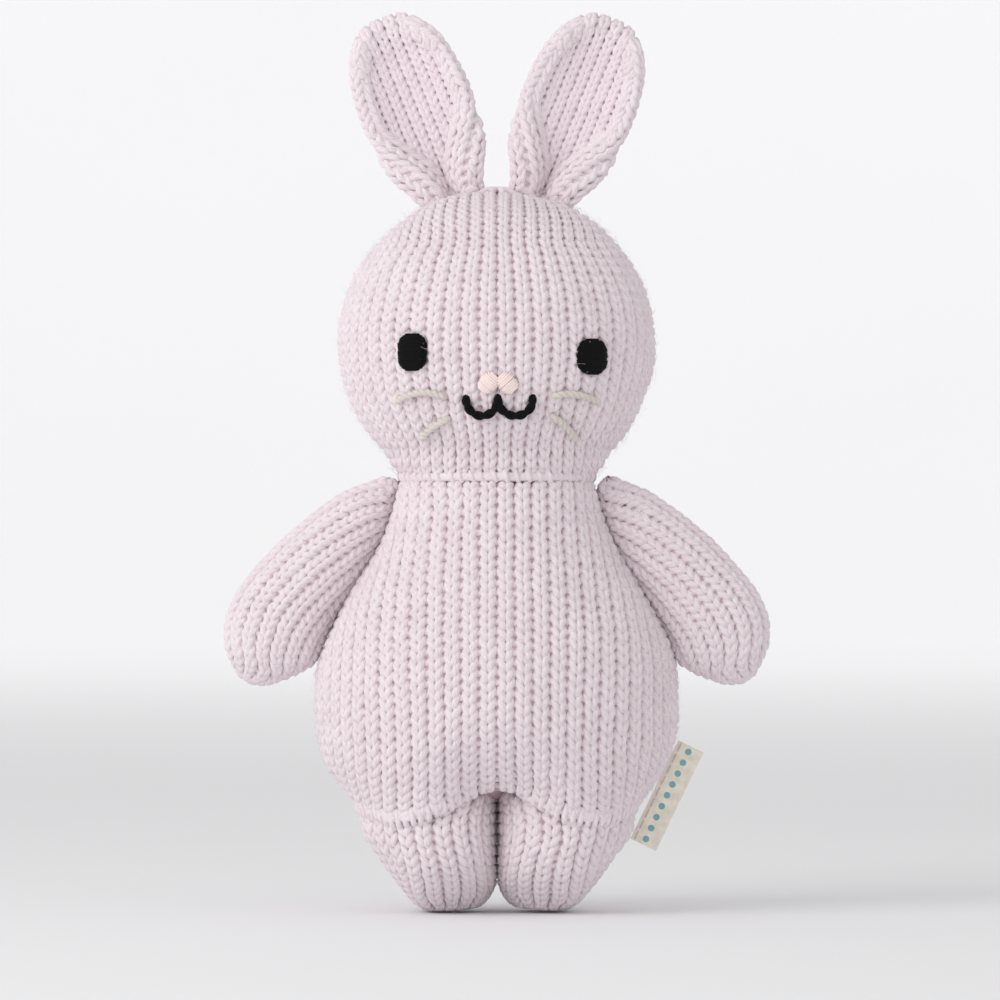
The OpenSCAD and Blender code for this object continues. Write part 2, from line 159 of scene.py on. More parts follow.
class Yarns:
    """Tubes of yarn that become one mesh, with a map along the yarn and a map for baking."""

    def __init__(self, sides=YARN_SIDES):
        self.sides = sides
        self.points = []
        self.quads = []
        self.caps = []
        self.along = []
        self.strip = []
        self.count = 0
        self.strips = 0

    def add(self, line, out, radius, closed=False):
        """A tube round line. out is the way that its first side faces, for each point or for all."""
        n = len(line)
        if closed:
            way = unit(np.roll(line, -1, axis=0) - np.roll(line, 1, axis=0))
            step = np.linalg.norm(np.roll(line, -1, axis=0) - line, axis=1)
        else:
            way = unit(np.gradient(line, axis=0))
            step = np.r_[np.linalg.norm(np.diff(line, axis=0), axis=1), 0]
        out = np.broadcast_to(out, line.shape)
        side = unit(np.cross(way, out))
        out = np.cross(side, way)
        turn = np.arange(self.sides) * TURN / self.sides
        radius = np.broadcast_to(radius, n)[:, None, None]
        ring = np.cos(turn)[None, :, None] * out[:, None] + np.sin(turn)[None, :, None] * side[:, None]
        self.points.append((line[:, None] + radius * ring).reshape(-1, 3))
        spans = n if closed else n - 1
        i = np.repeat(np.arange(spans), self.sides)
        k = np.tile(np.arange(self.sides), spans)
        i2, k2 = (i + 1) % n, (k + 1) % self.sides
        s = self.sides
        self.quads.append(self.count + np.stack([i * s + k, i2 * s + k, i2 * s + k2, i * s + k2], axis=1))
        run = np.r_[0, np.cumsum(step)]
        u = np.stack([k, k, k + 1, k + 1], axis=1) / s
        v = np.stack([run[i], run[i + 1], run[i + 1], run[i]], axis=1)
        self.along.append(np.stack([u, v], axis=-1))
        share = np.stack([i, i + 1, i + 1, i], axis=1) / spans
        self.strip.append(np.stack([share, self.strips + 0.05 + 0.9 * u], axis=-1))
        if not closed:
            self.caps.append(self.count + np.arange(s)[::-1])
            self.caps.append(self.count + (n - 1) * s + np.arange(s))
        self.count += n * s
        self.strips += 1

    def build(self, name, material):
        points = np.vstack(self.points) * MM
        quads = np.vstack(self.quads)
        caps = np.array(self.caps, int).reshape(-1, self.sides)
        along = np.vstack(self.along).reshape(-1, 2)
        strip = np.vstack(self.strip).reshape(-1, 2) / [1, self.strips]
        corner = [np.zeros((caps.size, 2)), np.tile([0.001, 0.001], (caps.size, 1))]
        loops = np.r_[quads.ravel(), caps.ravel()]
        sizes = np.r_[np.full(len(quads), 4), np.full(len(caps), self.sides)]
        mesh = bpy.data.meshes.new(name)
        mesh.vertices.add(len(points))
        mesh.vertices.foreach_set("co", points.astype(np.float32).ravel())
        mesh.loops.add(len(loops))
        mesh.loops.foreach_set("vertex_index", loops.astype(np.int32))
        mesh.polygons.add(len(sizes))
        mesh.polygons.foreach_set("loop_start", np.r_[0, np.cumsum(sizes)[:-1]].astype(np.int32))
        mesh.polygons.foreach_set("use_smooth", np.ones(len(sizes), bool))
        mesh.update(calc_edges=True)
        for layer, own, rest in (("Yarn", along, corner[0]), ("OFBake", strip, corner[1])):
            uv = mesh.uv_layers.new(name=layer)
            uv.data.foreach_set("uv", np.vstack([own, rest]).astype(np.float32).ravel())
        mesh.validate()
        mesh.materials.append(material)
        piece = bpy.data.objects.new(name, mesh)
        bpy.context.scene.collection.objects.link(piece)
        return piece


def solid(name, rings, material):
    """A closed mesh from rings of points, with its two ends filled."""
    rows, count = rings.shape[:2]
    i = np.repeat(np.arange(rows - 1), count)
    k = np.tile(np.arange(count), rows - 1)
    k2 = (k + 1) % count
    corners = [i * count + k, i * count + k2, (i + 1) * count + k2, (i + 1) * count + k]
    faces = np.stack(corners, axis=1).tolist()
    faces.append(list(range(count))[::-1])
    faces.append([(rows - 1) * count + n for n in range(count)])
    mesh = bpy.data.meshes.new(name)
    mesh.from_pydata((rings.reshape(-1, 3) * MM).tolist(), [], faces)
    mesh.polygons.foreach_set("use_smooth", np.ones(len(mesh.polygons), bool))
    mesh.materials.append(material)
    piece = bpy.data.objects.new(name, mesh)
    bpy.context.scene.collection.objects.link(piece)
    return piece


# ---------------------------------------------------------------- surfaces to knit on

SUB = 3  # rows of a skin for each course
ROUND = 180  # points round a skin
SKIN_LUMP = 16  # the size of the lumps in a skin
SHELL_LUMP = 12  # and in the stuffing
SHELL_STEP = 2  # a shell keeps each second row and point


class Skin:
    """A surface of rings, evenly spaced up it, with even points along each ring.

    Ring fractions run 0 at the right-hand edge, 0.25 front, 0.5 left and 0.75 back on a closed skin.
    """

    def __init__(self, rings, course, closed=True, guide=None, lumps=0.0, seed=1, inset=INSET):
        if closed:
            rings = np.concatenate([rings, rings[:, :1]], axis=1)
        self.closed = closed
        step = np.linalg.norm(np.diff(rings, axis=0), axis=2)
        step = step.mean(axis=1) if guide is None else step[:, guide]
        run = np.r_[0, np.cumsum(step)]
        self.courses = max(2, round(run[-1] / course))
        rows = np.interp(np.linspace(0, run[-1], self.courses * SUB + 1), run, np.arange(len(rings)))
        low = np.minimum(rows.astype(int), len(rings) - 2)
        part = (rows - low)[:, None, None]
        even = rings[low] * (1 - part) + rings[low + 1] * part
        self.grid = np.stack([self.even_ring(ring) for ring in even])
        self.find_normals()
        self.grid = self.grid - self.normal * inset
        if lumps:
            self.grid = self.grid + self.normal * (lumps * waves(self.grid, SKIN_LUMP, seed))[..., None]
            self.find_normals()
        self.length = np.linalg.norm(np.diff(self.grid, axis=1), axis=2).sum(axis=1)

    def even_ring(self, ring):
        run = np.r_[0, np.cumsum(np.linalg.norm(np.diff(ring, axis=0), axis=1))]
        even = np.linspace(0, run[-1], ROUND + 1)
        return np.stack([np.interp(even, run, ring[:, k]) for k in range(3)], axis=1)

    def find_normals(self):
        up = np.gradient(self.grid, axis=0)
        if self.closed:
            core = self.grid[:, :-1]
            across = np.roll(core, -1, axis=1) - np.roll(core, 1, axis=1)
            across = np.concatenate([across, across[:, :1]], axis=1)
        else:
            across = np.gradient(self.grid, axis=1)
        self.normal = unit(np.cross(up, across))

    def at(self, course, f):
        """Points and normals at that course and ring fraction, as arrays."""
        row = np.clip(course * SUB, 0, len(self.grid) - 1.001)
        col = (f % 1.0 if self.closed else np.clip(f, 0, 1)) * ROUND
        i, k = row.astype(int), np.minimum(col.astype(int), ROUND - 1)
        a, b = (row - i)[:, None], (col - k)[:, None]
        mixed = []
        for table in (self.grid, self.normal):
            low = table[i, k] * (1 - b) + table[i, k + 1] * b
            high = table[i + 1, k] * (1 - b) + table[i + 1, k + 1] * b
            mixed.append(low * (1 - a) + high * a)
        return mixed[0], unit(mixed[1])

    def shell(self, inset, lumps=0.0):
        """The skin's rings again, further in."""
        grid = self.grid[:, :-1] if self.closed else self.grid
        normal = self.normal[:, :-1] if self.closed else self.normal
        moved = grid - normal * inset
        if lumps:
            moved = moved + normal * (lumps * waves(grid, SHELL_LUMP, 3))[..., None]
        return moved[::SHELL_STEP, ::SHELL_STEP]


class Block:
    """Columns of stitches that keep their places from one line up the skin.

    centre is that line's ring fraction, step one wale's share of the ring for each course, and reach how
    many wales there are on each side of the line, for each course.
    """

    def __init__(self, centre, step, reach):
        self.centre = centre
        self.step = np.array(step, float)
        self.reach = np.array(reach, float)

    def edges(self, course):
        """The boundaries of a course's stitches, in wales from the line."""
        reach = self.reach[min(course, len(self.reach) - 1)]
        inner = list(range(math.ceil(-reach), math.floor(reach) + 1))
        if len(inner) > 1 and inner[0] + reach < 0.5:
            inner = inner[1:]
        if len(inner) > 1 and reach - inner[-1] < 0.5:
            inner = inner[:-1]
        return np.array([-reach] + inner + [reach])

    def place(self, course, x):
        """Ring fractions of points x wales from the line, at that course."""
        n = np.arange(len(self.step))
        return self.centre + x * np.interp(course, n, self.step)


STITCH_T = (np.arange(STITCH_SAMPLES) + 0.5) / STITCH_SAMPLES * TURN


def knit_course(skin, blocks, course, look):
    """The yarn's line, the way the fabric faces, and the yarn's squeeze, through one course of stitches."""
    lines, ways, squeeze = [], [], []
    long = skin.length[min(course * SUB, len(skin.length) - 1)]
    for block in blocks:
        edges = block.edges(course)
        if edges[-1] - edges[0] < 0.4:
            continue
        start, width = edges[:-1, None], np.diff(edges)[:, None]
        n = len(start)
        nudge = random.normal(size=(n, 4))[:, :, None] * look["uneven"]
        middle = np.sin(STITCH_T / 2) ** 2
        t = STITCH_T[None]
        across = t / TURN + look["lean"] * np.sin(2 * t) + look["pull"] * np.sin(t)
        x = start + width * across + 0.035 * nudge[:, 0] * middle
        y = course - look["rise"] * np.cos(t) + 0.07 * nudge[:, 1] * middle
        z = look["over"] * np.sin(t) ** 2 * np.cos(t) - look["depth"] * np.cos(2 * t)
        z = z + 0.1 * nudge[:, 2] * middle
        x, y, z = x.ravel(), (y + 0 * x.reshape(n, -1)).ravel(), (z + 0 * x.reshape(n, -1)).ravel()
        place, out = skin.at(y, block.place(y, x))
        lines.append(place + out * z[:, None])
        ways.append(out)
        wale = long * block.step[min(course, len(block.step) - 1)]
        squeeze.append(np.full(len(x), min(max(wale / look["wale"], 0.7), 1)))
    if not lines:
        return None, None, None
    return np.vstack(lines), np.vstack(ways), np.concatenate(squeeze)


# A stitch leans its two legs apart towards the top, pulls them together off its neighbours, rises through
# the course above, weaves by its depth, and carries its foot over the stitch below.
LOOK = {
    "lean": 0.215,
    "pull": 0.055,
    "rise": 0.8,
    "depth": YARN_DEPTH,
    "over": 0.8,
    "radius": YARN_R,
    "wale": 4.2,
    "uneven": 1.0,
}


def knit(name, skin, blocks, material, first, last, **changed):
    """A piece knitted over a skin, from course first up to course last."""
    look = LOOK | changed
    yarns = Yarns()
    for course in range(first, last):
        line, out, squeeze = knit_course(skin, blocks, course, look)
        if line is None:
            continue
        thick = look["radius"] * squeeze * (1 + 0.03 * waves(line, 9, course))
        yarns.add(line, out, thick, closed=skin.closed)
    return yarns.build(name, material)


def stray_fibres(name, skin, count, first, last, seed):
    """Fine fibres that stand off the yarn, from course first to course last."""
    chance = np.random.default_rng(seed)
    root, out = skin.at(chance.uniform(first, last, count), chance.uniform(0, 1, count))
    aside = unit(np.cross(out, chance.normal(size=(count, 3))))
    other = np.cross(out, aside)
    reach = chance.uniform(0.7, 2.3, (count, 1))
    rise, bend = chance.uniform(0.15, 0.75, (count, 1)), chance.normal(size=(count, 1)) * 0.5
    yarns = Yarns(3)
    lines = []
    for share in np.linspace(0, 1, 5):
        up = YARN_R + YARN_DEPTH - 0.1 + reach * rise * share * (1.4 - 0.4 * share)
        lines.append(root + out * up + reach * (aside * share + other * bend * share**2))
    for line, way in zip(np.stack(lines, axis=1), out):
        yarns.add(line, way, FIBRE_R)
    return yarns.build(name, FIBRE)


def even_blocks(skin, wale):
    """A front block and a back block of even columns, cut off at the two sides."""
    rows = np.minimum(np.arange(skin.courses + 1) * SUB, len(skin.length) - 1)
    length = skin.length[rows]
    step = np.broadcast_to(wale, len(rows)) / length
    return [Block(0.25, step, 0.25 / step), Block(0.75, step, 0.25 / step)]


# ---------------------------------------------------------------- materials


def nodes_of(name):
    """A new material with its node tree, its shader and a way to add nodes."""
    material = bpy.data.materials.new(name)
    material.use_nodes = True
    tree = material.node_tree
    shader = tree.nodes["Principled BSDF"]

    def add(kind, inputs=(), **settings):
        node = tree.nodes.new(kind)
        for key, value in settings.items():
            setattr(node, key, value)
        for key, value in dict(inputs).items():
            if isinstance(value, bpy.types.NodeSocket):
                tree.links.new(value, node.inputs[key])
            else:
                node.inputs[key].default_value = value
        return node

    return material, tree, shader, add


def linear(rgb):
    """A colour given as 0 to 255 screen values, as Blender's linear colour."""
    c = np.array(rgb, float) / 255
    c = np.where(c <= 0.04045, c / 12.92, ((c + 0.055) / 1.055) ** 2.4)
    return (*c, 1.0)


def maths(add, operation, a, b=0.0, c=0.0):
    """A maths node's result."""
    return add("ShaderNodeMath", {0: a, 1: b, 2: c}, operation=operation).outputs[0]


def set_ramp(add, value, low, dark, high, light):
    """A colour ramp over value, from dark at low to light at high."""
    ramp = add("ShaderNodeValToRGB", {"Fac": value})
    first, last = ramp.color_ramp.elements
    first.position, first.color = low, linear(dark)
    last.position, last.color = high, linear(light)
    return ramp.outputs["Color"]


YARN_PLIES = 6
YARN_PITCH = 9.0  # one turn of the plies
YARN_FUZZ = 0.7


def yarn_material(name, light, dark, radius, twist=0.16, sheen=0.3):
    """Plied yarn: strands wind round it, with fibres along the strands, flecks, painted shade in the grooves
    between the strands, and a soft sheen.
    """
    material, tree, shader, add = nodes_of(name)
    uv = add("ShaderNodeUVMap", uv_map="Yarn")
    split = add("ShaderNodeSeparateXYZ", {"Vector": uv.outputs["UV"]})
    run = split.outputs["Y"]
    wound = maths(add, "ADD", split.outputs["X"], maths(add, "MULTIPLY", run, 1 / YARN_PITCH))
    wave = maths(add, "SINE", maths(add, "MULTIPLY", wound, TURN * YARN_PLIES / 2))
    ridge = maths(add, "POWER", maths(add, "ABSOLUTE", wave), 0.6)
    stretched = {"X": maths(add, "MULTIPLY", wound, 26.0), "Y": maths(add, "MULTIPLY", run, 0.55)}
    fibre_at = add("ShaderNodeCombineXYZ", stretched).outputs[0]
    fibre = add("ShaderNodeTexNoise", {"Vector": fibre_at, "Scale": 1.0, "Detail": 3.0}).outputs["Fac"]
    spot = add("ShaderNodeTexCoord").outputs["Object"]
    mottle = add("ShaderNodeTexNoise", {"Vector": spot, "Scale": 190.0, "Detail": 4.0}).outputs["Fac"]
    cloud = add("ShaderNodeTexNoise", {"Vector": spot, "Scale": 34.0, "Detail": 2.0}).outputs["Fac"]
    height = maths(add, "MULTIPLY_ADD", fibre, YARN_FUZZ, maths(add, "MULTIPLY", ridge, twist))
    relief = {"Height": height, "Strength": 0.75, "Distance": 0.35 * radius * MM}
    bump = add("ShaderNodeBump", relief)
    # painted shade: the ply ridges darken the colour in the grooves between strands; the fibres, flecks and
    # clouds added after it are the yarn's own tone
    shade = maths(add, "MULTIPLY_ADD", ridge, 0.2, 0.08)
    for part, share in ((fibre, 0.5), (mottle, 0.34), (cloud, 0.16)):
        shade = maths(add, "MULTIPLY_ADD", part, share, shade)
    tree.links.new(set_ramp(add, shade, 0.3, dark, 0.82, light), shader.inputs["Base Color"])
    tree.links.new(bump.outputs["Normal"], shader.inputs["Normal"])
    shader.inputs["Roughness"].default_value = 0.92
    shader.inputs["Sheen Weight"].default_value = sheen
    shader.inputs["Sheen Roughness"].default_value = 0.5
    shader.inputs["Specular IOR Level"].default_value = 0.15
    return material


def fluff_material(name, light, dark, size=220.0):
    """Loose fibre, or the inner face of the knitting with painted shade: mottled and matte."""
    material, tree, shader, add = nodes_of(name)
    place = add("ShaderNodeTexCoord")
    noise = add("ShaderNodeTexNoise", {"Vector": place.outputs["Object"], "Scale": size, "Detail": 5.0})
    colour = set_ramp(add, noise.outputs["Fac"], 0.32, dark, 0.7, light)
    bump = add("ShaderNodeBump", {"Height": noise.outputs["Fac"], "Strength": 0.6, "Distance": 0.4 * MM})
    tree.links.new(colour, shader.inputs["Base Color"])
    tree.links.new(bump.outputs["Normal"], shader.inputs["Normal"])
    shader.inputs["Roughness"].default_value = 0.95
    shader.inputs["Specular IOR Level"].default_value = 0.1
    return material


LILAC = yarn_material("lilac_cotton_yarn", (243, 232, 236), (220, 202, 208), YARN_R)
LINING = yarn_material("lilac_fine_yarn", (243, 230, 235), (221, 203, 210), LINING_R)
# painted shade: the knitting's inner face, coloured a darker dusky pink than the yarn, stands for the shade
# that fills the holes between stitches
INNER_FACE_AND_HOLE_SHADE = fluff_material("knit_back_and_painted_hole_shade", (232, 204, 211), (216, 184, 193))
# painted shade: the ear's inner face, a little darker than the yarn, stands for the shade seen through the
# holes of the ear's knitting
EAR_INNER_AND_HOLE_SHADE = fluff_material("ear_inner_face", (234, 216, 222), (220, 202, 210))
FIBRE = fluff_material("stray_fibre", (246, 238, 242), (236, 222, 229), 60.0)
STUFFING = fluff_material("polyester_stuffing", (246, 245, 242), (222, 220, 216), 90.0)
BLACK = yarn_material("black_cotton_yarn", (15, 15, 17), (6, 6, 7), 0.9, sheen=0.03)
PINK = yarn_material("pink_embroidery_cotton", (255, 238, 234), (244, 218, 214), 0.4, twist=0.1)
GREY = yarn_material("beige_grey_yarn", (226, 218, 211), (192, 182, 174), 0.7)
THREAD = yarn_material("label_sewing_thread", (226, 216, 200), (196, 186, 170), 0.3)


# ---------------------------------------------------------------- head

neck_place = joint_place("head_turn")[0]
head_place = joint_place("head_nod")[0]
head_low, head_high = node_box("head_cover")
ANGLES = np.arange(ROUND) * TURN / ROUND


def head_ring(height):
    """The head's outline at that polar angle above its widest level."""
    above = head_high[2] - head_place[2]
    below = head_place[2] - head_low[2]
    reach = math.cos(height)
    flare = ease(-math.degrees(height), 42, 60)  # towards the neck
    z = head_place[2] + (above if height > 0 else below) * math.sin(height)
    return np.stack(
        [
            head_high[0] * reach * (1 + 0.155 * flare) * np.cos(ANGLES),
            -head_high[1] * reach * (1 + 0.26 * flare) * np.sin(ANGLES),
            np.full(ROUND, z),
        ],
        axis=1,
    )


HEAD_WALES = 50
TIGHT_WALE = 3.45  # the narrowest column, near the crown and the neck; there, columns run out at the sides

head_skin = Skin(
    np.stack([head_ring(a) for a in np.radians(np.linspace(-74, 86, 90))]),
    COURSE,
    guide=ROUND // 4,
    lumps=0.25,
    seed=11,
)
head_rows = np.minimum(np.arange(head_skin.courses + 1) * SUB, len(head_skin.length) - 1)
head_columns = even_blocks(head_skin, np.maximum(head_skin.length[head_rows] / HEAD_WALES, TIGHT_WALE))
head_split = head_skin.courses // 2 - 1
head_parts = [
    knit("head_knit_lower", head_skin, head_columns, LILAC, 0, head_split),
    knit("head_knit_upper", head_skin, head_columns, LILAC, head_split, head_skin.courses),
]
head_parts.append(stray_fibres("head_stray_fibres", head_skin, 3600, 4, head_skin.courses - 2, 41))
head_inner = solid("head_inner_face", head_skin.shell(SHELL_IN), INNER_FACE_AND_HOLE_SHADE)
head_filling = solid("head_stuffing_fibre", head_skin.shell(3.6, lumps=0.8), STUFFING)

# ---------------------------------------------------------------- body

body_low, body_high = node_box("body_cover")
body_tree = node_tree("body_cover")
CROTCH_RISE = 8.5
CROTCH_SPREAD = 14.0
RIM_FADE = 20.0  # how far up the body is drawn in towards its rim
LEG_STOUT = 1.16
LEG_SPREAD = 2.2  # how far the leg's outer side is filled out at the rim
LEG_INNER = 0.1  # from the middle to the leg's inner side
LEG_SQUARE = 2.8


def rim_height(x):
    """How high the body's rim is: arched over the crotch, and a little higher at the hips."""
    x = np.abs(x)
    return body_low[2] + 0.6 + CROTCH_RISE * np.exp(-((x / CROTCH_SPREAD) ** 2)) + 3.2 * ease(x, 24, 36)


def leg_outline(middle, sign, outer, inner, deep, square):
    """A leg's ring: round outside, and squared off where it lies against the other leg."""
    away = np.cos(ANGLES) * sign
    power = 2 / square
    x_in = -np.abs(away) ** power
    y_in = np.abs(np.sin(ANGLES)) ** power
    x = np.where(away >= 0, away * (outer - middle), x_in * (middle - inner))
    y = np.where(away >= 0, np.abs(np.sin(ANGLES)), y_in) * deep
    return sign * (middle + x), -np.sign(np.sin(ANGLES)) * y


def rim_radius():
    """How far the body's rim is from the middle, all round: just outside the legs' tops."""
    low, high = node_box("leg_left_cover")
    middle = (low[0] + high[0]) / 2
    x, y = leg_outline(middle, 1, high[0] + LEG_SPREAD, LEG_INNER, high[1] * LEG_STOUT, LEG_SQUARE)
    turn, far = np.degrees(np.arctan2(-y, x)), np.hypot(x, y)
    front = (turn >= 0) & (turn < 74) & (x > 5)
    order = np.argsort(turn[front])
    known = np.r_[turn[front][order], 90]
    reach = np.r_[far[front][order], 23.2]
    folded = np.degrees(np.arcsin(np.abs(np.sin(ANGLES))))
    ring = np.interp(folded, known, reach) + 0.3
    tones = np.fft.rfft(ring)
    tones[15:] = 0
    return np.fft.irfft(tones, ROUND)


def cast_rings(tree, heights, centre_x, reach):
    """Rings round an upright axis at centre_x, where level rays from outside meet a CAD solid."""
    rings = []
    for z, x in zip(heights, np.broadcast_to(centre_x, len(heights))):
        ring = []
        for angle in ANGLES:
            way = Vector((math.cos(angle), -math.sin(angle), 0))
            start = Vector((x, 0, z)) + way * reach
            hit = tree.ray_cast(start * MM, -way, reach * MM)[0]
            ring.append(reach if hit is None else (hit / MM - Vector((x, 0, z))).dot(way))
        rings.append(ring)
    radius = np.array(rings)
    tones = np.fft.rfft(radius, axis=1)
    tones[:, 9:] = 0  # the CAD solid's facets
    radius = np.fft.irfft(tones, ROUND, axis=1)
    return smooth_line(radius, 6)


body_heights = np.arange(body_low[2] + CROTCH_RISE + 0.6, body_high[2] - 0.4, 1.2)
body_radius = cast_rings(body_tree, body_heights, 0.0, 80.0)


def body_rings():
    """From the tucked lower rim up to the neck. The rim arches up at the crotch."""
    rim = rim_height(body_radius[0] * 0.88 * np.cos(ANGLES))
    rings = []
    rise = body_heights[3] - body_heights[0]
    low_slope = (body_radius[3] - body_radius[0]) / rise
    for share in np.linspace(0, 1, 120):
        z = rim + (body_heights[-1] - rim) * share
        rows = (z - body_heights[0]) / (body_heights[1] - body_heights[0])
        i = np.clip(rows.astype(int), 0, len(body_heights) - 2)
        part = np.clip(rows - i, 0, 1)
        k = np.arange(ROUND)
        radius = body_radius[i, k] * (1 - part) + body_radius[i + 1, k] * part
        radius = radius + np.minimum(z - body_heights[0], 0) * low_slope
        if share == 0:
            drawn = radius - rim_radius()
        radius = radius - drawn * np.clip(1 - (z - rim) / RIM_FADE, 0, 1) ** 1.8
        rings.append(np.stack([radius * np.cos(ANGLES), -radius * np.sin(ANGLES), z], axis=1))
    rings = np.array(rings)
    inward = np.stack([-np.cos(ANGLES), np.sin(ANGLES), 0 * ANGLES], axis=1)
    closing = []
    for way, rise in ((0.3, 0.8), (1.2, 1.6), (3.0, 2.0)):
        closing.append(rings[-1] + inward * way + np.array([0, 0, rise]))
    rings = np.concatenate([rings, closing])
    tuck = []
    for way, drop in ((4.0, -2.6), (2.4, -0.9), (1.2, 0.0), (0.4, 0.15)):
        tuck.append(rings[0] + inward * way - np.array([0, 0, drop]))
    return np.concatenate([np.array(tuck), rings])


body_skin = Skin(body_rings(), COURSE, guide=ROUND // 4, lumps=0.3, seed=5)
body_rows = np.arange(body_skin.courses + 1) / body_skin.courses
body_columns = even_blocks(body_skin, 4.3 + 0.17 * (1 - ease(body_rows, 0.55, 0.95)))
third = body_skin.courses / 3
body_parts = []
for n, part in enumerate(("lower", "middle", "upper")):
    body_parts.append(
        knit(
            "body_knit_" + part,
            body_skin,
            body_columns,
            LILAC,
            round(n * third),
            round((n + 1) * third),
        )
    )
body_parts.append(stray_fibres("body_stray_fibres", body_skin, 3600, 5, body_skin.courses - 4, 42))
body_inner = solid("body_inner_face", body_skin.shell(SHELL_IN)[6:], INNER_FACE_AND_HOLE_SHADE)
body_filling = solid("body_stuffing_fibre", body_skin.shell(3.8, lumps=0.8)[4:], STUFFING)

# ---------------------------------------------------------------- legs

LEG_WALE = 4.7


def leg_skin(side):
    """A stump that closes at its sole and goes up inside the body."""
    node = "leg_" + side + "_cover"
    low, high = node_box(node)
    heights = np.arange(1.0, 33.0, 1.0)
    middle = (low[0] + high[0]) / 2
    radius = cast_rings(node_tree(node), heights, middle, 60.0)
    rings = []
    for share in np.linspace(0.12, 0.92, 8):
        z = 0.4 + 0.9 * share**3
        rings.append(
            np.stack(
                [
                    middle + radius[0] * share * np.cos(ANGLES),
                    -radius[0] * share * np.sin(ANGLES),
                    np.full(ROUND, z),
                ],
                axis=1,
            )
        )
    sign = math.copysign(1, middle)
    at_outer, at_inner = (0, ROUND // 2) if sign > 0 else (ROUND // 2, 0)
    for z, row in zip(heights, radius):
        x, y = leg_outline(
            abs(middle),
            sign,
            abs(middle) + row[at_outer] + LEG_SPREAD * ease(z, 14, 22),
            LEG_INNER + (abs(middle) - row[at_inner] - LEG_INNER) * (1 - ease(z, 2, 9)),
            row[ROUND // 4] * (1 + (LEG_STOUT - 1) * ease(z, 3, 14)),
            2 + (LEG_SQUARE - 2) * ease(z, 2, 12),
        )
        under = 1 - 0.07 * ease(z - rim_height(x), 0.4, 5.0)  # drawn in under the body's rim
        outside = np.where((x - middle) * sign > 0, under, 1.0)  # but not where the two legs meet
        rings.append(np.stack([middle + (x - middle) * outside, y * under, np.full(ROUND, z)], axis=1))
    return Skin(smooth_line(np.array(rings), 4), COURSE * 1.04, guide=ROUND // 4, lumps=0.15, seed=21)


leg_pieces = {}
for side in ("left", "right"):
    skin = leg_skin(side)
    rows = np.minimum(np.arange(skin.courses + 1) * SUB, len(skin.length) - 1)
    length = skin.length[rows]
    wale = np.minimum(LEG_WALE, length / 16)
    leg_pieces[side] = {
        "knit": knit(
            "leg_" + side + "_knit", skin, even_blocks(skin, wale), LILAC, 1, skin.courses, depth=0.65
        ),
        "inner": solid("leg_" + side + "_inner_face", skin.shell(SHELL_IN), INNER_FACE_AND_HOLE_SHADE),
        "filling": solid("leg_" + side + "_stuffing_fibre", skin.shell(3.6, lumps=0.6)[6:], STUFFING),
    }

# ---------------------------------------------------------------- riding

for piece in head_parts + [head_inner]:
    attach(piece, "head")
    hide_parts("head_cover")
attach(head_filling, "head")
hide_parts("head_stuffing")
for piece in body_parts + [body_inner]:
    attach(piece, "torso")
    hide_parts("body_cover")
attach(body_filling, "torso")
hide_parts("body_stuffing")
for side, made in leg_pieces.items():
    for kind, piece in made.items():
        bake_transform(piece)
        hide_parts("leg_" + side + ("_stuffing" if kind == "filling" else "_cover"))

# ---------------------------------------------------------------- arms

ARM_WALE = 4.0
ARM_TIP_WALES = 5  # across half the arm where it closes


def limb_levels(points, down, out):
    """Each ring of a CAD limb: how far down it is, its near and far edge, and half its thickness."""
    level = points @ down
    reach = points @ out
    found = []
    for d in np.unique(np.round(level, 1)):
        near = np.abs(level - d) < 0.06
        if near.sum() > 7:
            found.append((d, reach[near].min(), reach[near].max(), np.abs(points[near, 1]).max()))
    found = np.array(found)
    whole = found[:, 2] - found[:, 1] > 2
    whole[-1] = True
    return found[whole]


def even_edge(points, count):
    """count points along a path in a plane, evenly spaced."""
    run = np.r_[0, np.cumsum(np.linalg.norm(np.diff(points, axis=0), axis=1))]
    even = np.linspace(0, run[-1], count)
    return np.stack([np.interp(even, run, points[:, k]) for k in range(2)], axis=1)


def body_side(spot, out):
    """How far along out, from a spot beside the body, its outline is."""
    steps = np.linspace(-14, 14, 113)
    line = spot + steps[:, None] * out
    gap = np.abs(line[:, 0]) - np.interp(line[:, 2], body_heights, body_radius[:, 0])
    return np.interp(-0.7, gap, steps)


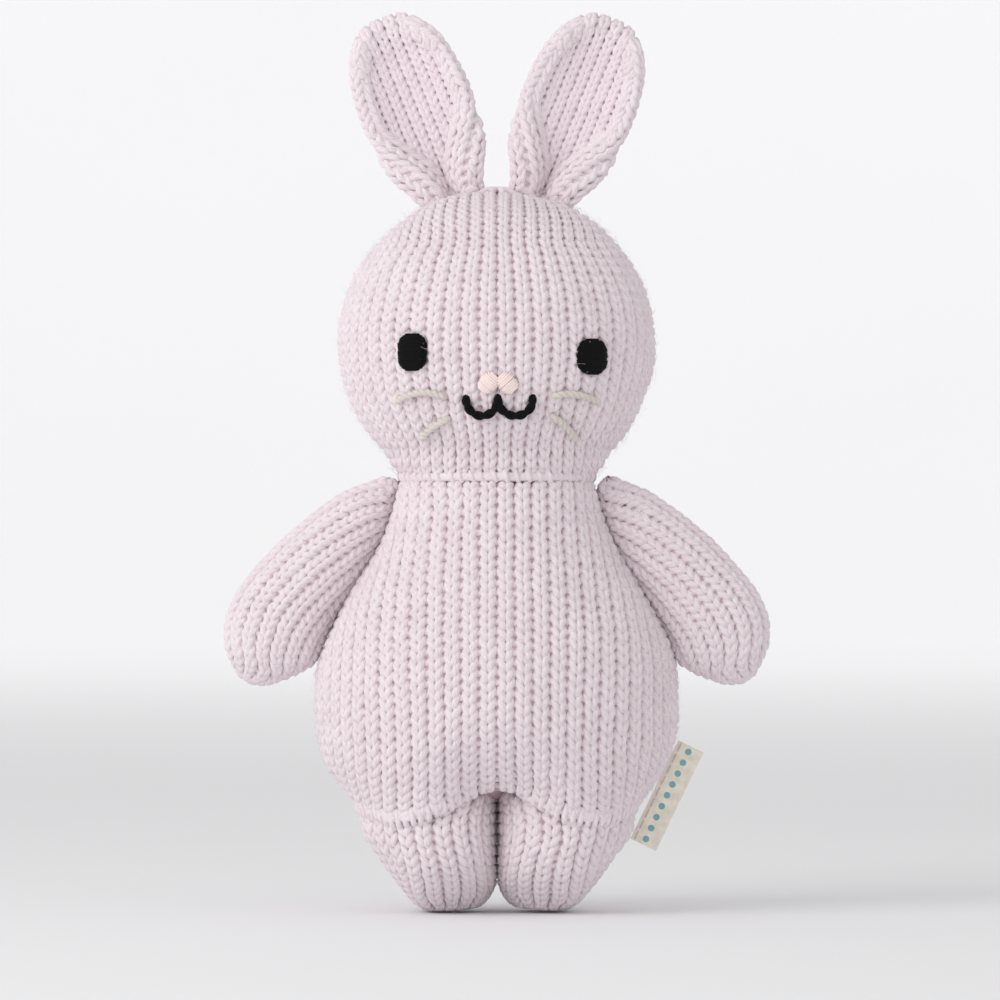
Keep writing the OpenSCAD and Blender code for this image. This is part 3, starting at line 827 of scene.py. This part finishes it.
def arm_skin(side, sign):
    """Rings from the tip up to the shoulder, square to the outer edge and not to the seam."""
    place, axis = joint_place("arm_" + side + "_flap")
    down = -axis * np.sign(axis[2])
    out = np.array([-down[2] * sign, 0, down[0] * sign])
    levels = limb_levels(node_points("arm_" + side + "_cover") - place, down, out)
    fine = np.linspace(levels[0, 0], levels[-1, 0], 90)
    near, far, thick = (smooth_line(np.interp(fine, levels[:, 0], levels[:, k]), 5) for k in (1, 2, 3))
    touch = [body_side(place + down * d, out) for d in fine]
    near = near + (touch - near) * (1 - ease(fine, 48, 60))  # the knitting lies against the body
    far = far - 2.0 * (1 - ease(fine - fine[0], 0, 10))
    top = np.array([[near[0] - 2.2, fine[0] - 0.8]])  # inside the body
    tip = np.array([[(near[-1] + far[-1]) / 2, fine[-1] + 0.1]])
    outer = even_edge(np.vstack([top, np.stack([far, fine], axis=1), tip]), 80)[::-1]
    inner = even_edge(np.vstack([top, np.stack([near, fine], axis=1), tip]), 80)[::-1]
    turn = ANGLES if sign > 0 else (math.pi - ANGLES)
    rings = []
    for o, i in zip(outer[1:-1], inner[1:-1]):
        flat = (o + i) / 2 + np.cos(turn)[:, None] * (o - i) / 2
        left, right, deep = (np.interp(flat[:, 1], fine, edge) for edge in (near, far, thick))
        middle, half = (left + right) / 2, (right - left) / 2
        y = deep * np.sqrt(np.clip(1 - ((flat[:, 0] - middle) / half) ** 2, 0, 1))
        y = -np.sign(np.sin(ANGLES)) * y
        rings.append(place + flat[:, :1] * out + flat[:, 1:] * down + y[:, None] * np.array([0, 1, 0]))
    edge = 0 if sign > 0 else ROUND // 2
    seam = [place + down * d + out * (np.interp(d, fine, near) + 0.9) for d in np.linspace(4, 46, 8)]
    return Skin(np.array(rings), COURSE, guide=edge, lumps=0.2, seed=31 + sign), seam, (place, out)


def arm_blocks(skin, centre):
    """Columns that follow the outer edge and run out at the seam."""
    rows = np.minimum(np.arange(skin.courses + 1) * SUB, len(skin.length) - 1)
    length = skin.length[rows]
    widest = np.argmax(length)
    tip = np.arange(len(rows)) < widest
    wale = np.where(tip, np.minimum(ARM_WALE, length / 2 / ARM_TIP_WALES), ARM_WALE)
    step = np.minimum(wale / np.maximum(length, 1), 0.25)
    return [Block(centre, step, 0.5 / step)]


def seam_yarn(name, route, out, radius, material, pitch, wind):
    """Overcast stitches: a yarn wound along a route."""
    line = spline(route, 240)
    run = np.r_[0, np.cumsum(np.linalg.norm(np.diff(line, axis=0), axis=1))]
    way = unit(np.gradient(line, axis=0))
    side = unit(np.cross(way, out))
    turn = (run / pitch * TURN)[:, None]
    yarns = Yarns()
    yarns.add(line + wind * (np.cos(turn) * out + np.sin(turn) * side), out, radius)
    return yarns.build(name, material)


arm_pieces = {}
for side, sign in (("left", 1), ("right", -1)):
    skin, seam, seam_frame = arm_skin(side, sign)
    blocks = arm_blocks(skin, 0.0 if sign > 0 else 0.5)
    arm_pieces[side] = {
        "frame": seam_frame,
        "cover": [
            knit("arm_" + side + "_knit", skin, blocks, LILAC, 1, skin.courses - 1),
            solid("arm_" + side + "_inner_face", skin.shell(SHELL_IN)[2:-9], INNER_FACE_AND_HOLE_SHADE),
        ],
        "stuffing": [solid("arm_" + side + "_stuffing_fibre", skin.shell(3.0, lumps=0.4)[4:-14], STUFFING)],
        "seam_yarn": [
            seam_yarn("arm_" + side + "_overcast_yarn", seam, np.array([0, -1.0, 0]), 0.5, LILAC, 3.4, 1.6)
        ],
    }

# ---------------------------------------------------------------- ears

EAR_WALES = 9
EAR_DEPTH = 1.9  # how far back the leaf's middle lies
EAR_ROLL = 1.35  # the rolled rim's radius, at the middle of its yarn
RIM_IN = 2.6  # from the ear's outline in to the middle of the rolled rim
LIP = 2.2  # how far the rolled edge lies in over the panel
EAR_ROOT = -3.0  # how far the leaf goes down into the head
FAN_WALE = 3.5


def ear_frame(side):
    """The ear's base, its way up and its way across towards +X."""
    place, axis = joint_place("ear_" + side + "_fold")
    across = axis * np.sign(axis[0])
    up = np.array([-across[2], 0, across[0]])
    return place, up, across


class Ear:
    """The shape of one ear, from its CAD outline: a cupped leaf, folded together at its base."""

    def __init__(self, side):
        self.place, self.up, self.across = ear_frame(side)
        points = node_points("ear_" + side + "_outer") - self.place
        level, reach = points @ self.up, points @ self.across
        rings = np.array([r for r in np.unique(np.round(level, 1)) if (np.abs(level - r) < 0.06).sum() > 5])
        hull = [np.abs(reach[np.abs(level - r) < 0.06]).max() for r in rings]
        self.low, self.high = rings[0], rings[-1]
        self.steps = np.linspace(self.low, self.high, 80)
        self.hull = smooth_line(np.interp(self.steps, rings, hull), 6)

    def half(self, z):
        """Half the leaf's width. It narrows where it is gathered into the head."""
        return np.interp(z, self.steps, self.hull) * (0.8 + 0.2 * ease(z, EAR_ROOT, 5))

    def cup(self, x, z):
        """How far back the leaf's middle surface lies."""
        share = np.abs(x) / np.maximum(self.half(z), 1)
        fold = 1 - ease(z, 1, 17)
        tip = ease(z, self.high - 12, self.high)
        return EAR_DEPTH - 4.4 * share**2 * (1 - 0.4 * tip) + fold * (1.6 - 3.4 * share)

    def spot(self, x, y, z):
        """Points from across, depth and height arrays."""
        x, y, z = np.broadcast_arrays(x, y, z)
        return (
            self.place
            + x[..., None] * self.across
            + y[..., None] * np.array([0, 1.0, 0])
            + z[..., None] * self.up
        )

    def leaf_ring(self, z):
        """From the front lip, round the rim, across the back and round to the other front lip."""
        rim = max(self.half(z) - RIM_IN, 0.4)
        depth = self.cup(rim, z)
        turn = np.linspace(-90, 90, 10)
        roll_x = rim + EAR_ROLL * np.cos(np.radians(turn))
        roll_y = depth + EAR_ROLL * np.sin(np.radians(turn))
        back_x = np.linspace(-rim, rim, 25)[1:-1]
        back_y = self.cup(back_x, z) + EAR_ROLL * (0.75 + 0.25 * (back_x / rim) ** 2)
        fold = 1 - ease(z, 1, 22)
        share = np.linspace(1, 0, 8)[:-1]
        lip_x = rim - (min(LIP, rim * 0.8) * (1 - fold) + (rim - 0.4) * fold) * share
        edge_y, panel_y = depth - EAR_ROLL, self.cup(lip_x, z) - 0.5
        lip_y = edge_y + (panel_y - edge_y) * share**2 - 1.3 * fold * np.sin(math.pi * share)
        x = np.r_[-lip_x, -roll_x, back_x, roll_x[::-1], lip_x[::-1]]
        y = np.r_[lip_y, roll_y, back_y, roll_y[::-1], lip_y[::-1]]
        run = np.r_[0, np.cumsum(np.hypot(np.diff(x), np.diff(y)))]
        even = np.linspace(0, run[-1], ROUND)
        return self.spot(np.interp(even, run, x), np.interp(even, run, y), z)

    def lining_ring(self, z):
        """Across the recessed inner panel, which faces forwards."""
        rim = max(self.half(z) - RIM_IN - 0.3, 0.6)
        x = np.linspace(rim, -rim, ROUND)
        brow = np.maximum(np.abs(x / rim) ** 4, ease(z, self.high - 12, self.high - 5))
        return self.spot(x, self.cup(x, z) - 0.55 - 1.2 * brow, z)

    def tip_fan(self):
        """Rings along the tip's outline, from the front lip over the edge to the back."""
        z = np.linspace(self.high * 0.74, self.high - RIM_IN + 0.2, 40)
        x = np.maximum(self.half(z + 0.9) - RIM_IN, 0)
        x[-1] = 0
        side = np.stack([x, z], axis=1)
        outline = even_edge(np.vstack([side, side[-2::-1] * [-1, 1]]), ROUND)
        outline = np.stack([smooth_line(outline[:, 0], 30), smooth_line(outline[:, 1], 30)], axis=1)
        way = np.gradient(outline, axis=0)
        normal = unit(np.stack([way[:, 1], -way[:, 0]], axis=1))
        depth = self.cup(outline[:, 0], outline[:, 1])
        rings = []
        for share in (1, 0.75, 0.5, 0.25):
            flat = outline - normal * LIP * share
            edge_y, panel_y = depth - EAR_ROLL, self.cup(flat[:, 0], flat[:, 1]) - 1.6
            rings.append(self.spot(flat[:, 0], edge_y + (panel_y - edge_y) * share**2, flat[:, 1]))
        for turn in np.radians(np.linspace(-90, 100, 12)):
            flat = outline + normal * (EAR_ROLL + 0.15) * math.cos(turn)
            rings.append(self.spot(flat[:, 0], depth + (EAR_ROLL + 0.1) * math.sin(turn), flat[:, 1]))
        return np.array(rings)


def sheet_block(skin, wale):
    """One block of even columns from the middle of an open sheet out to its edges."""
    rows = np.minimum(np.arange(skin.courses + 1) * SUB, len(skin.length) - 1)
    length = skin.length[rows]
    step = np.minimum(np.broadcast_to(wale, len(rows)) / length, 0.5)
    return [Block(0.5, step, 0.5 / step)]


def make_ear(side):
    ear = Ear(side)
    name = "ear_" + side
    leaf = Skin(
        np.array([ear.leaf_ring(z) for z in np.linspace(EAR_ROOT, ear.high - 2.2, 60)]),
        COURSE,
        closed=False,
        guide=ROUND // 2,
        inset=0.0,
    )
    rows = np.arange(leaf.courses + 1)
    wale = leaf.length[np.minimum(rows * SUB, len(leaf.length) - 1)] / EAR_WALES
    soft = {"depth": 0.4, "over": 0.65, "radius": 0.9, "wale": 3.7}
    leaf_knit = knit(name + "_leaf_knit", leaf, sheet_block(leaf, wale), LILAC, 0, leaf.courses, **soft)
    fan = Skin(ear.tip_fan(), 2.3, closed=False, inset=0.0)
    fan_knit = knit(name + "_tip_knit", fan, sheet_block(fan, FAN_WALE), LILAC, 0, fan.courses, **soft)
    panel = Skin(
        np.array([ear.lining_ring(z) for z in np.linspace(-1.0, ear.high - 3.8, 60)]),
        LINING_COURSE,
        closed=False,
        guide=ROUND // 2,
        inset=0.0,
    )
    panel_knit = knit(
        name + "_panel_knit",
        panel,
        sheet_block(panel, LINING_WALE),
        LINING,
        0,
        panel.courses,
        radius=LINING_R,
        wale=LINING_WALE,
        depth=0.3,
        over=0.45,
    )
    core = []
    for row, normal in zip(leaf.grid[::SUB], leaf.normal[::SUB]):
        edge = (row - normal * SHELL_IN)[::6]
        z = (row[ROUND // 2] - ear.place) @ ear.up
        x = np.linspace(*(edge[[-1, 0]] - ear.place) @ ear.across, 16)[1:-1]
        core.append(np.vstack([edge, ear.spot(x, ear.cup(x, z) - 0.45, z)]))
    backing = solid(name + "_inner_face", np.array(core), EAR_INNER_AND_HOLE_SHADE)
    base = Yarns()
    for f in np.linspace(0.06, 0.94, 15):
        course = 1.5 + np.linspace(-0.8, 0.5, 7)
        spot, normal = leaf.at(course, np.full(7, f))
        lift = 0.85 * np.cos(np.linspace(-1.5, 1.5, 7))
        base.add(spot + normal * lift[:, None], normal[3], 0.6)
    gather = base.build(name + "_gather_yarn", LILAC)
    for piece, node in (
        (leaf_knit, "_outer"),
        (fan_knit, "_outer"),
        (backing, "_outer"),
        (panel_knit, "_lining"),
        (gather, "_seam_yarn"),
    ):
        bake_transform(piece)
        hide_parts(name + node)


for side in ("left", "right"):
    make_ear(side)

# ---------------------------------------------------------------- face


def face(x, z, lift):
    """Points on the front of the head, lifted off it."""
    z = z - head_place[2]
    high = np.where(z > 0, head_high[2] - head_place[2], head_place[2] - head_low[2])
    core = np.clip(1 - (x / head_high[0]) ** 2 - (z / high) ** 2, 0, 1)
    y = -head_high[1] * np.sqrt(core)
    normal = unit(np.stack([x / head_high[0] ** 2, y / head_high[1] ** 2, z / high**2], axis=-1))
    spot = np.stack([x + 0 * y, y, z + head_place[2]], axis=-1)
    return spot + normal * np.asarray(lift)[..., None], normal


def satin(name, patches, radius, spacing, material, dome, square):
    """Satin stitches. A patch is its centre, half its size along and across the threads, and their angle."""
    yarns = Yarns(6)
    for cx, cz, half_run, half_row, angle in patches:
        c, s = math.cos(math.radians(angle)), math.sin(math.radians(angle))
        count = max(3, round(2 * half_row / spacing))
        for n in range(count):
            row = (2 * (n + 0.5) / count - 1) * half_row + random.normal() * 0.03
            share = min(abs(row) / half_row, 0.97)
            reach = half_run * (1 - share**square) ** (1 / square) * (1 + random.normal() * 0.03)
            run = np.linspace(-1, 1, 13)
            x = cx + run * reach * c - row * s
            z = cz + run * reach * s + row * c
            bulge = (1 - run**4) * (0.35 + dome * (1 - share**2)) - 0.35 * run**8
            line, normal = face(x, z, 0.35 + bulge)
            yarns.add(line, normal, radius * (1 - 0.25 * run**6))
    return yarns.build(name, material)


def twisted(name, routes, radius, pitch, material, lift):
    """Two-ply yarn laid over the face. Each route is a list of (x, z) points."""
    yarns = Yarns()
    for route in routes:
        flat = spline([(x, z, 0) for x, z in route], 70)
        x, z = flat[:, 0], flat[:, 1]
        share = np.linspace(-1, 1, len(x))
        line, normal = face(x, z, lift - 1.5 * lift * np.abs(share) ** 14)
        way = unit(np.gradient(line, axis=0))
        side = np.cross(way, normal)
        run = np.r_[0, np.cumsum(np.linalg.norm(np.diff(line, axis=0), axis=1))]
        for start in (0, math.pi):
            turn = (run / pitch * TURN + start)[:, None]
            strand = line + 0.38 * radius * (np.cos(turn) * normal + np.sin(turn) * side)
            yarns.add(strand, normal, radius * 0.68)
    return yarns.build(name, material)


def box_middle(name):
    low, high = node_box(name)
    return (low + high) / 2, (high - low) / 2


for side in ("left", "right"):
    middle, half = box_middle("eye_" + side)
    patch = (middle[0], middle[2], half[0] - 0.35, half[2] - 0.3, 0)
    eye = satin("eye_" + side + "_satin", [patch], 0.3, 0.38, BLACK, 0.35, 2.8)
    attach(eye, "head")
    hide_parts("eye_" + side)

NOSE_TURN = 28
NOSE_HALF = (2.6, 1.95)
nose_points = node_points("nose_stitches")
nose_middle = box_middle("nose_stitches")[0]
lobes = []
for sign in (-1, 1):
    lobe = nose_points[(nose_points[:, 0] - nose_middle[0]) * sign > 0]
    centre = (lobe.min(axis=0) + lobe.max(axis=0)) / 2
    lobes.append(
        (centre[0] - sign * 0.55, centre[2], NOSE_HALF[1] * 1.15, NOSE_HALF[0], sign * (90 - NOSE_TURN - 20))
    )
nose = satin("nose_satin", lobes, 0.32, 0.5, PINK, 0.3, 2.8)
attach(nose, "head")
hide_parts("nose_stitches")

MOUTH_ARCS = ((-3.7, 4.0), (4.6, 4.4))  # middle and half width of each hanging arc
MOUTH_TOP = 130.8
MOUTH_DROP = 4.4
mouth_routes = []
for centre, half in MOUTH_ARCS:
    turns = np.linspace(0, math.pi, 9)
    mouth_routes.append(
        [(centre - half * math.cos(t), MOUTH_TOP - MOUTH_DROP * math.sin(t)) for t in turns]
    )
mouth = twisted("mouth_cord", mouth_routes, 1.12, 5.5, BLACK, 0.8)
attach(mouth, "head")
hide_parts("mouth_stitches")

WHISKERS = {
    "left_upper": ((14.0, 131.2), (25.6, 129.6), 1.2),
    "left_lower": ((13.6, 126.2), (20.0, 120.2), 0.8),
    "right_upper": ((-25.2, 129.8), (-12.8, 130.8), 1.8),
    "right_lower": ((-19.0, 120.6), (-12.2, 125.4), 0.8),
}
for name, (start, end, arch) in WHISKERS.items():
    route = []
    for share in np.linspace(0, 1, 6):
        route.append(
            (
                start[0] + share * (end[0] - start[0]),
                start[1] + share * (end[1] - start[1]) + arch * 4 * share * (1 - share),
            )
        )
    whisker = twisted("whisker_" + name + "_yarn", [route], 0.9, 3.4, GREY, 0.75)
    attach(whisker, "head")
    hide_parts("whisker_" + name)

# ---------------------------------------------------------------- gathers and seams

NECK_TEETH = 51


def neck_gather():
    """The drawn-up ridge between head and body: a tooth of yarn over each gathered column."""
    high = node_box("neck_gather_yarn")[1]
    reach = np.array([high[0] - 1.5, high[1] - 2.5])
    yarns = Yarns()
    for n in range(NECK_TEETH):
        turn = (n + random.normal() * 0.08) * TURN / NECK_TEETH
        size = 1 + random.normal() * 0.08
        arc = []
        for s in np.linspace(-1, 1, 9):
            out = 1.0 * size * math.cos(s * 1.5) - 0.5
            angle = turn + 0.018 * s
            arc.append(
                [
                    (reach[0] + out) * math.cos(angle),
                    -(reach[1] + out) * math.sin(angle),
                    neck_place[2] + 0.3 + 1.3 * s * size,
                ]
            )
        yarns.add(np.array(arc), np.array([math.cos(turn), -math.sin(turn), 0]), 0.72 * size)
    line = [
        [(reach[0] - 0.7) * math.cos(a), -(reach[1] - 0.7) * math.sin(a), neck_place[2] + 0.2]
        for a in np.linspace(0, TURN, 120, endpoint=False)
    ]
    yarns.add(np.array(line), np.array([0, 0, 1.0]), 1.25, closed=True)
    return yarns.build("neck_gather_teeth", LILAC)


neck = neck_gather()
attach(neck, "neck")
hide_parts("neck_gather_yarn")


def crown_whorl():
    """Short gathered loops where the head closes between the ears."""
    yarns = Yarns()
    top = head_high[2]
    for n in range(9):
        turn = n * TURN / 9 + 0.2
        way = np.array([math.cos(turn), math.sin(turn), 0])
        spots = [
            way * r + np.array([0, 0, top - 0.9 + 0.9 * math.cos(k) - r * r * 0.012])
            for r, k in zip(np.linspace(0.5, 5.2, 8), np.linspace(-0.6, 1.7, 8))
        ]
        yarns.add(np.array(spots), np.array([0, 0, 1.0]), 0.85)
    return yarns.build("crown_gather_loops", LILAC)


crown = crown_whorl()
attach(crown, "head")
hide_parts("crown_gather_yarn")


def crown_cloth():
    """Rings of the cloth that is drawn together under the crown's loops."""
    rings = []
    for r in (7.5, 6.0, 4.5, 3.0, 1.5, 0.4):
        level = np.full(ROUND, head_high[2] - 1.55 - r * r * 0.016)
        rings.append(np.stack([r * np.cos(ANGLES), -r * np.sin(ANGLES), level], axis=1))
    return np.stack(rings)


crown_under = solid("crown_drawn_cloth", crown_cloth(), LILAC)
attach(crown_under, "head")


def back_seam():
    """Ladder stitches that close the stuffing hole, up the middle of the back."""
    low, high = node_box("back_seam_yarn")
    heights = body_skin.grid[:, ROUND * 3 // 4, 2]
    rows = np.arange(len(heights)) / SUB
    route, normals = [], []
    count = 26
    for n in range(count + 1):
        z = high[2] + (low[2] - high[2]) * n / count
        course = np.interp(z, heights, rows)
        x = 1.5 * (1 if n % 2 else -1)
        f = 0.75 + x / body_skin.length[int(course * SUB)]
        spot, normal = body_skin.at(np.array([course]), np.array([f]))
        route.append(spot[0] + normal[0] * 1.35)
        normals.append(normal[0])
    yarns = Yarns()
    yarns.add(spline(route, 260), np.mean(normals, axis=0), 0.6)
    return yarns.build("back_ladder_stitches", LILAC)


ladder = back_seam()
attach(ladder, "torso")
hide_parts("back_seam_yarn")


def hip_join(side, sign):
    """Puckered stitches along the body's rim, where it is sewn to one leg."""
    yarns = Yarns()
    spread = np.linspace(6, 88, 24)
    down = np.array([0, 0, -1.0])
    for degrees in np.r_[spread, 360 - spread]:
        f = (degrees if sign > 0 else 180 - degrees) % 360 / 360
        rim = np.argmin(body_skin.grid[: 6 * SUB, int(f * ROUND), 2]) / SUB
        spot, normal = body_skin.at(rim + np.array([1.5, 0.8, 0]), np.full(3, f))
        level = unit(normal[1] * [1, 1, 0])
        random.normal()  # keeps the later draws as they are
        reach = (1 + random.normal() * 0.2) * (0.3 + 0.7 * ease(abs(spot[2][0]), 5, 20))
        route = [
            spot[0],
            spot[1] + normal[1] * 0.75,
            spot[2] + level * 0.8 + down * 0.3,
            spot[2] + level * 0.5 + down * 1.3 * reach,
            spot[2] - level * 0.6 + down * 2.0 * reach,
        ]
        yarns.add(spline(route, 12), level, 0.8)
    return yarns.build("hip_join_" + side + "_stitches", LILAC)


for side, sign in (("left", 1), ("right", -1)):
    join = hip_join(side, sign)
    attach(join, "torso")
    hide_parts("hip_join_yarn_" + side)

for side, made in arm_pieces.items():
    seam_at, out = made.pop("frame")
    for kind, pieces in made.items():
        for piece in pieces:
            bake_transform(piece)
            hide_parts("arm_" + side + "_" + kind)

# ---------------------------------------------------------------- label

LABEL_THICK = 0.3
DOT_PITCH = 3.1
DOT_IN = 3.6  # from the tape's sewn edge to the dots
DOT_RADIUS = 0.85


def label_material():
    """Beige woven tape with a plain row of printed teal dots."""
    material, tree, shader, add = nodes_of("woven_label_tape")
    uv = add("ShaderNodeUVMap", uv_map="Tape")
    split = add("ShaderNodeSeparateXYZ", {"Vector": uv.outputs["UV"]})
    warp = maths(add, "SINE", maths(add, "MULTIPLY", split.outputs["X"], TURN / 0.5))
    weft = maths(add, "SINE", maths(add, "MULTIPLY", split.outputs["Y"], TURN / 0.5))
    weave = maths(add, "MULTIPLY", warp, weft)
    place = add("ShaderNodeTexCoord")
    noise = add("ShaderNodeTexNoise", {"Vector": place.outputs["Object"], "Scale": 500.0, "Detail": 3.0})
    tape = set_ramp(add, noise.outputs["Fac"], 0.3, (236, 228, 212), 0.7, (252, 247, 234))
    step = maths(add, "FRACT", maths(add, "DIVIDE", split.outputs["X"], DOT_PITCH))
    along = maths(add, "MULTIPLY", maths(add, "SUBTRACT", step, 0.5), DOT_PITCH)
    across = maths(add, "SUBTRACT", split.outputs["Y"], DOT_IN)
    squares = [maths(add, "MULTIPLY", way, way) for way in (along, across)]
    far = maths(add, "SQRT", maths(add, "ADD", *squares))
    dot = maths(add, "LESS_THAN", far, DOT_RADIUS)
    mix = add("ShaderNodeMix", {0: dot, 6: tape, 7: linear((128, 186, 190))}, data_type="RGBA")
    bump = add("ShaderNodeBump", {"Height": weave, "Strength": 0.5, "Distance": 0.06 * MM})
    tree.links.new(mix.outputs[2], shader.inputs["Base Color"])
    tree.links.new(bump.outputs["Normal"], shader.inputs["Normal"])
    shader.inputs["Roughness"].default_value = 0.8
    shader.inputs["Sheen Weight"].default_value = 0.1
    return material


def label_tape():
    """A woven tape folded double, its two ends sewn into the body's side."""
    place, axis = joint_place("label_flap")
    down = -axis * np.sign(axis[2])
    out = np.array([-down[2], 0, down[0]])
    points = node_points("label_tape") - place
    start, end = (points @ down).min(), (points @ down).max()
    inner, outer = (points @ out).min() - 0.5, (points @ out).max()
    t = LABEL_THICK
    half_turn = np.linspace(math.pi / 2, -math.pi / 2, 7)
    face_x = np.linspace(inner, outer - t, 10)
    fold = [(outer - t + t * math.cos(a), t * math.sin(a)) for a in half_turn]
    section = [(x, t) for x in face_x] + fold[1:-1] + [(x, -t) for x in face_x[::-1]]
    section += [(inner, -0.05)] + [(outer - 1.4 * t, -0.03), (outer - 1.4 * t, 0.03)] + [(inner, 0.05)]
    rings = []
    for d in np.linspace(start, end, 40):
        share = (d - start) / (end - start)
        ring = []
        for x, y in section:
            bend = 0.35 * math.sin(share * 5.0) * (x - inner) / 7 + 0.25 * math.sin(share * 2.6 + 0.6)
            ring.append(place + down * d + out * x + np.array([0, 1.0, 0]) * (y + bend))
        rings.append(ring)
    piece = solid("label_folded_tape", np.array(rings), label_material())
    uv = piece.data.uv_layers.new(name="Tape")
    co = np.array([v.co for v in piece.data.vertices]) / MM - place
    index = np.zeros(len(piece.data.loops), int)
    piece.data.loops.foreach_get("vertex_index", index)
    flat = np.stack([co @ down - start, co @ out - inner], axis=1)[index]
    uv.data.foreach_set("uv", flat.astype(np.float32).ravel())
    piece.data.polygons.foreach_set("use_smooth", np.zeros(len(piece.data.polygons), bool))
    stitches = Yarns(6)
    for d in np.linspace(start + 1.5, end - 1.5, 9):
        spots = [
            place
            + down * (d + 1.1 * s)
            + out * (inner + 1.1)
            + np.array([0, -0.15 - 0.45 * math.cos(s * 1.4), 0])
            for s in np.linspace(-1, 1, 7)
        ]
        stitches.add(np.array(spots), np.array([0, -1.0, 0]), 0.2)
    cut = ((end - start) * MM, 2 * (outer - inner) * MM)
    return piece, stitches.build("label_running_stitches", THREAD), cut


tape, tape_stitches, tape_cut = label_tape()
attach(tape, "label")
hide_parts("label_tape")
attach(tape_stitches, "torso")
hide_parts("label_thread")

# ---------------------------------------------------------------- studio

AIM = Vector((0.0008, 0, 0.105))
CAMERA_AWAY = 1.8
FRAME_HIGH = 0.255  # how much the picture shows from top to bottom, at the rabbit
FLOOR_FLAT = 3.4  # the flat floor's radius
FLOOR_BEND = 1.0  # and its upturned edge's
GLOW_START = 0.35  # how far out the floor starts to glow, so that its distance stays pale
GLOW_FULL = 3.0  # and where it glows most
GLOW = 0.265
AIR = (0.94, 0.94, 0.945, 1)
AIR_STRENGTH = 0.69


def area_light(name, place, aim, size, power, colour=(1, 1, 1)):
    """A soft rectangular light that shines at a point."""
    data = bpy.data.lights.new(name, "AREA")
    data.shape = "RECTANGLE"
    data.size, data.size_y = size
    data.energy = power
    data.color = colour
    lamp = bpy.data.objects.new(name, data)
    lamp.location = place
    lamp.rotation_euler = (Vector(aim) - Vector(place)).to_track_quat("-Z", "Y").to_euler()
    bpy.context.scene.collection.objects.link(lamp)


def studio():
    """A pale floor that curves up all round, soft light from the viewer's left, and a level camera."""
    material, tree, shader, add = nodes_of("studio_sweep")
    place = add("ShaderNodeTexCoord")
    grain = add("ShaderNodeTexNoise", {"Vector": place.outputs["Object"], "Scale": 3.0})
    colour = set_ramp(add, grain.outputs["Fac"], 0.0, (244, 244, 245), 1.0, (247, 247, 248))
    tree.links.new(colour, shader.inputs["Base Color"])
    shader.inputs["Roughness"].default_value = 0.9
    far = add("ShaderNodeVectorMath", {0: place.outputs["Object"]}, operation="LENGTH")
    glow = add("ShaderNodeMapRange", {"Value": far.outputs["Value"]}, interpolation_type="SMOOTHSTEP")
    ramp = {"From Min": GLOW_START, "From Max": GLOW_FULL, "To Min": 0.0, "To Max": GLOW}
    for socket, value in ramp.items():
        glow.inputs[socket].default_value = value
    tree.links.new(colour, shader.inputs["Emission Color"])
    tree.links.new(glow.outputs["Result"], shader.inputs["Emission Strength"])
    material.cycles.emission_sampling = "NONE"
    line = [(r, 0.0) for r in (0.05, 0.5, 1.0, 2.0, FLOOR_FLAT)]
    for t in np.linspace(0, math.pi / 2, 20)[1:]:
        line.append((FLOOR_FLAT + FLOOR_BEND * math.sin(t), FLOOR_BEND * (1 - math.cos(t))))
    around = 96
    turns = np.arange(around) * TURN / around
    points = [(r * math.cos(t), r * math.sin(t), z) for r, z in line for t in turns]
    faces = [tuple(range(around))]
    for k in range(len(line) - 1):
        for n in range(around):
            m = (n + 1) % around
            faces.append((k * around + n, (k + 1) * around + n, (k + 1) * around + m, k * around + m))
    mesh = bpy.data.meshes.new("floor")
    mesh.from_pydata(points, [], faces)
    mesh.polygons.foreach_set("use_smooth", np.ones(len(faces), bool))
    mesh.materials.append(material)
    floor = bpy.data.objects.new("floor", mesh)
    bpy.context.scene.collection.objects.link(floor)
    area_light("key", (-0.95, -0.75, 0.75), (0, 0, 0.1), (1.0, 1.0), 7.4, (1.0, 0.995, 0.99))
    area_light("fill", (1.0, -0.9, 0.35), (0, 0, 0.1), (1.0, 1.0), 0.35, (0.98, 0.99, 1.0))
    area_light("low_fill", (-0.1, -1.4, 0.16), (0, 0, 0.03), (0.9, 0.3), 0.6)
    world = bpy.data.worlds.new("studio_air")
    bpy.context.scene.world = world
    world.use_nodes = True
    world.node_tree.nodes["Background"].inputs["Color"].default_value = AIR
    world.node_tree.nodes["Background"].inputs["Strength"].default_value = AIR_STRENGTH
    camera_data = bpy.data.cameras.new("camera")
    camera_data.sensor_width = 36
    camera_data.lens = 36 * CAMERA_AWAY / FRAME_HIGH
    camera = bpy.data.objects.new("camera", camera_data)
    camera.location = AIM + Vector((0, -CAMERA_AWAY, 0))
    camera.rotation_euler = (math.pi / 2, 0, 0)
    bpy.context.scene.collection.objects.link(camera)
    bpy.context.scene.camera = camera
    bpy.context.scene.view_settings.view_transform = "Standard"


studio()
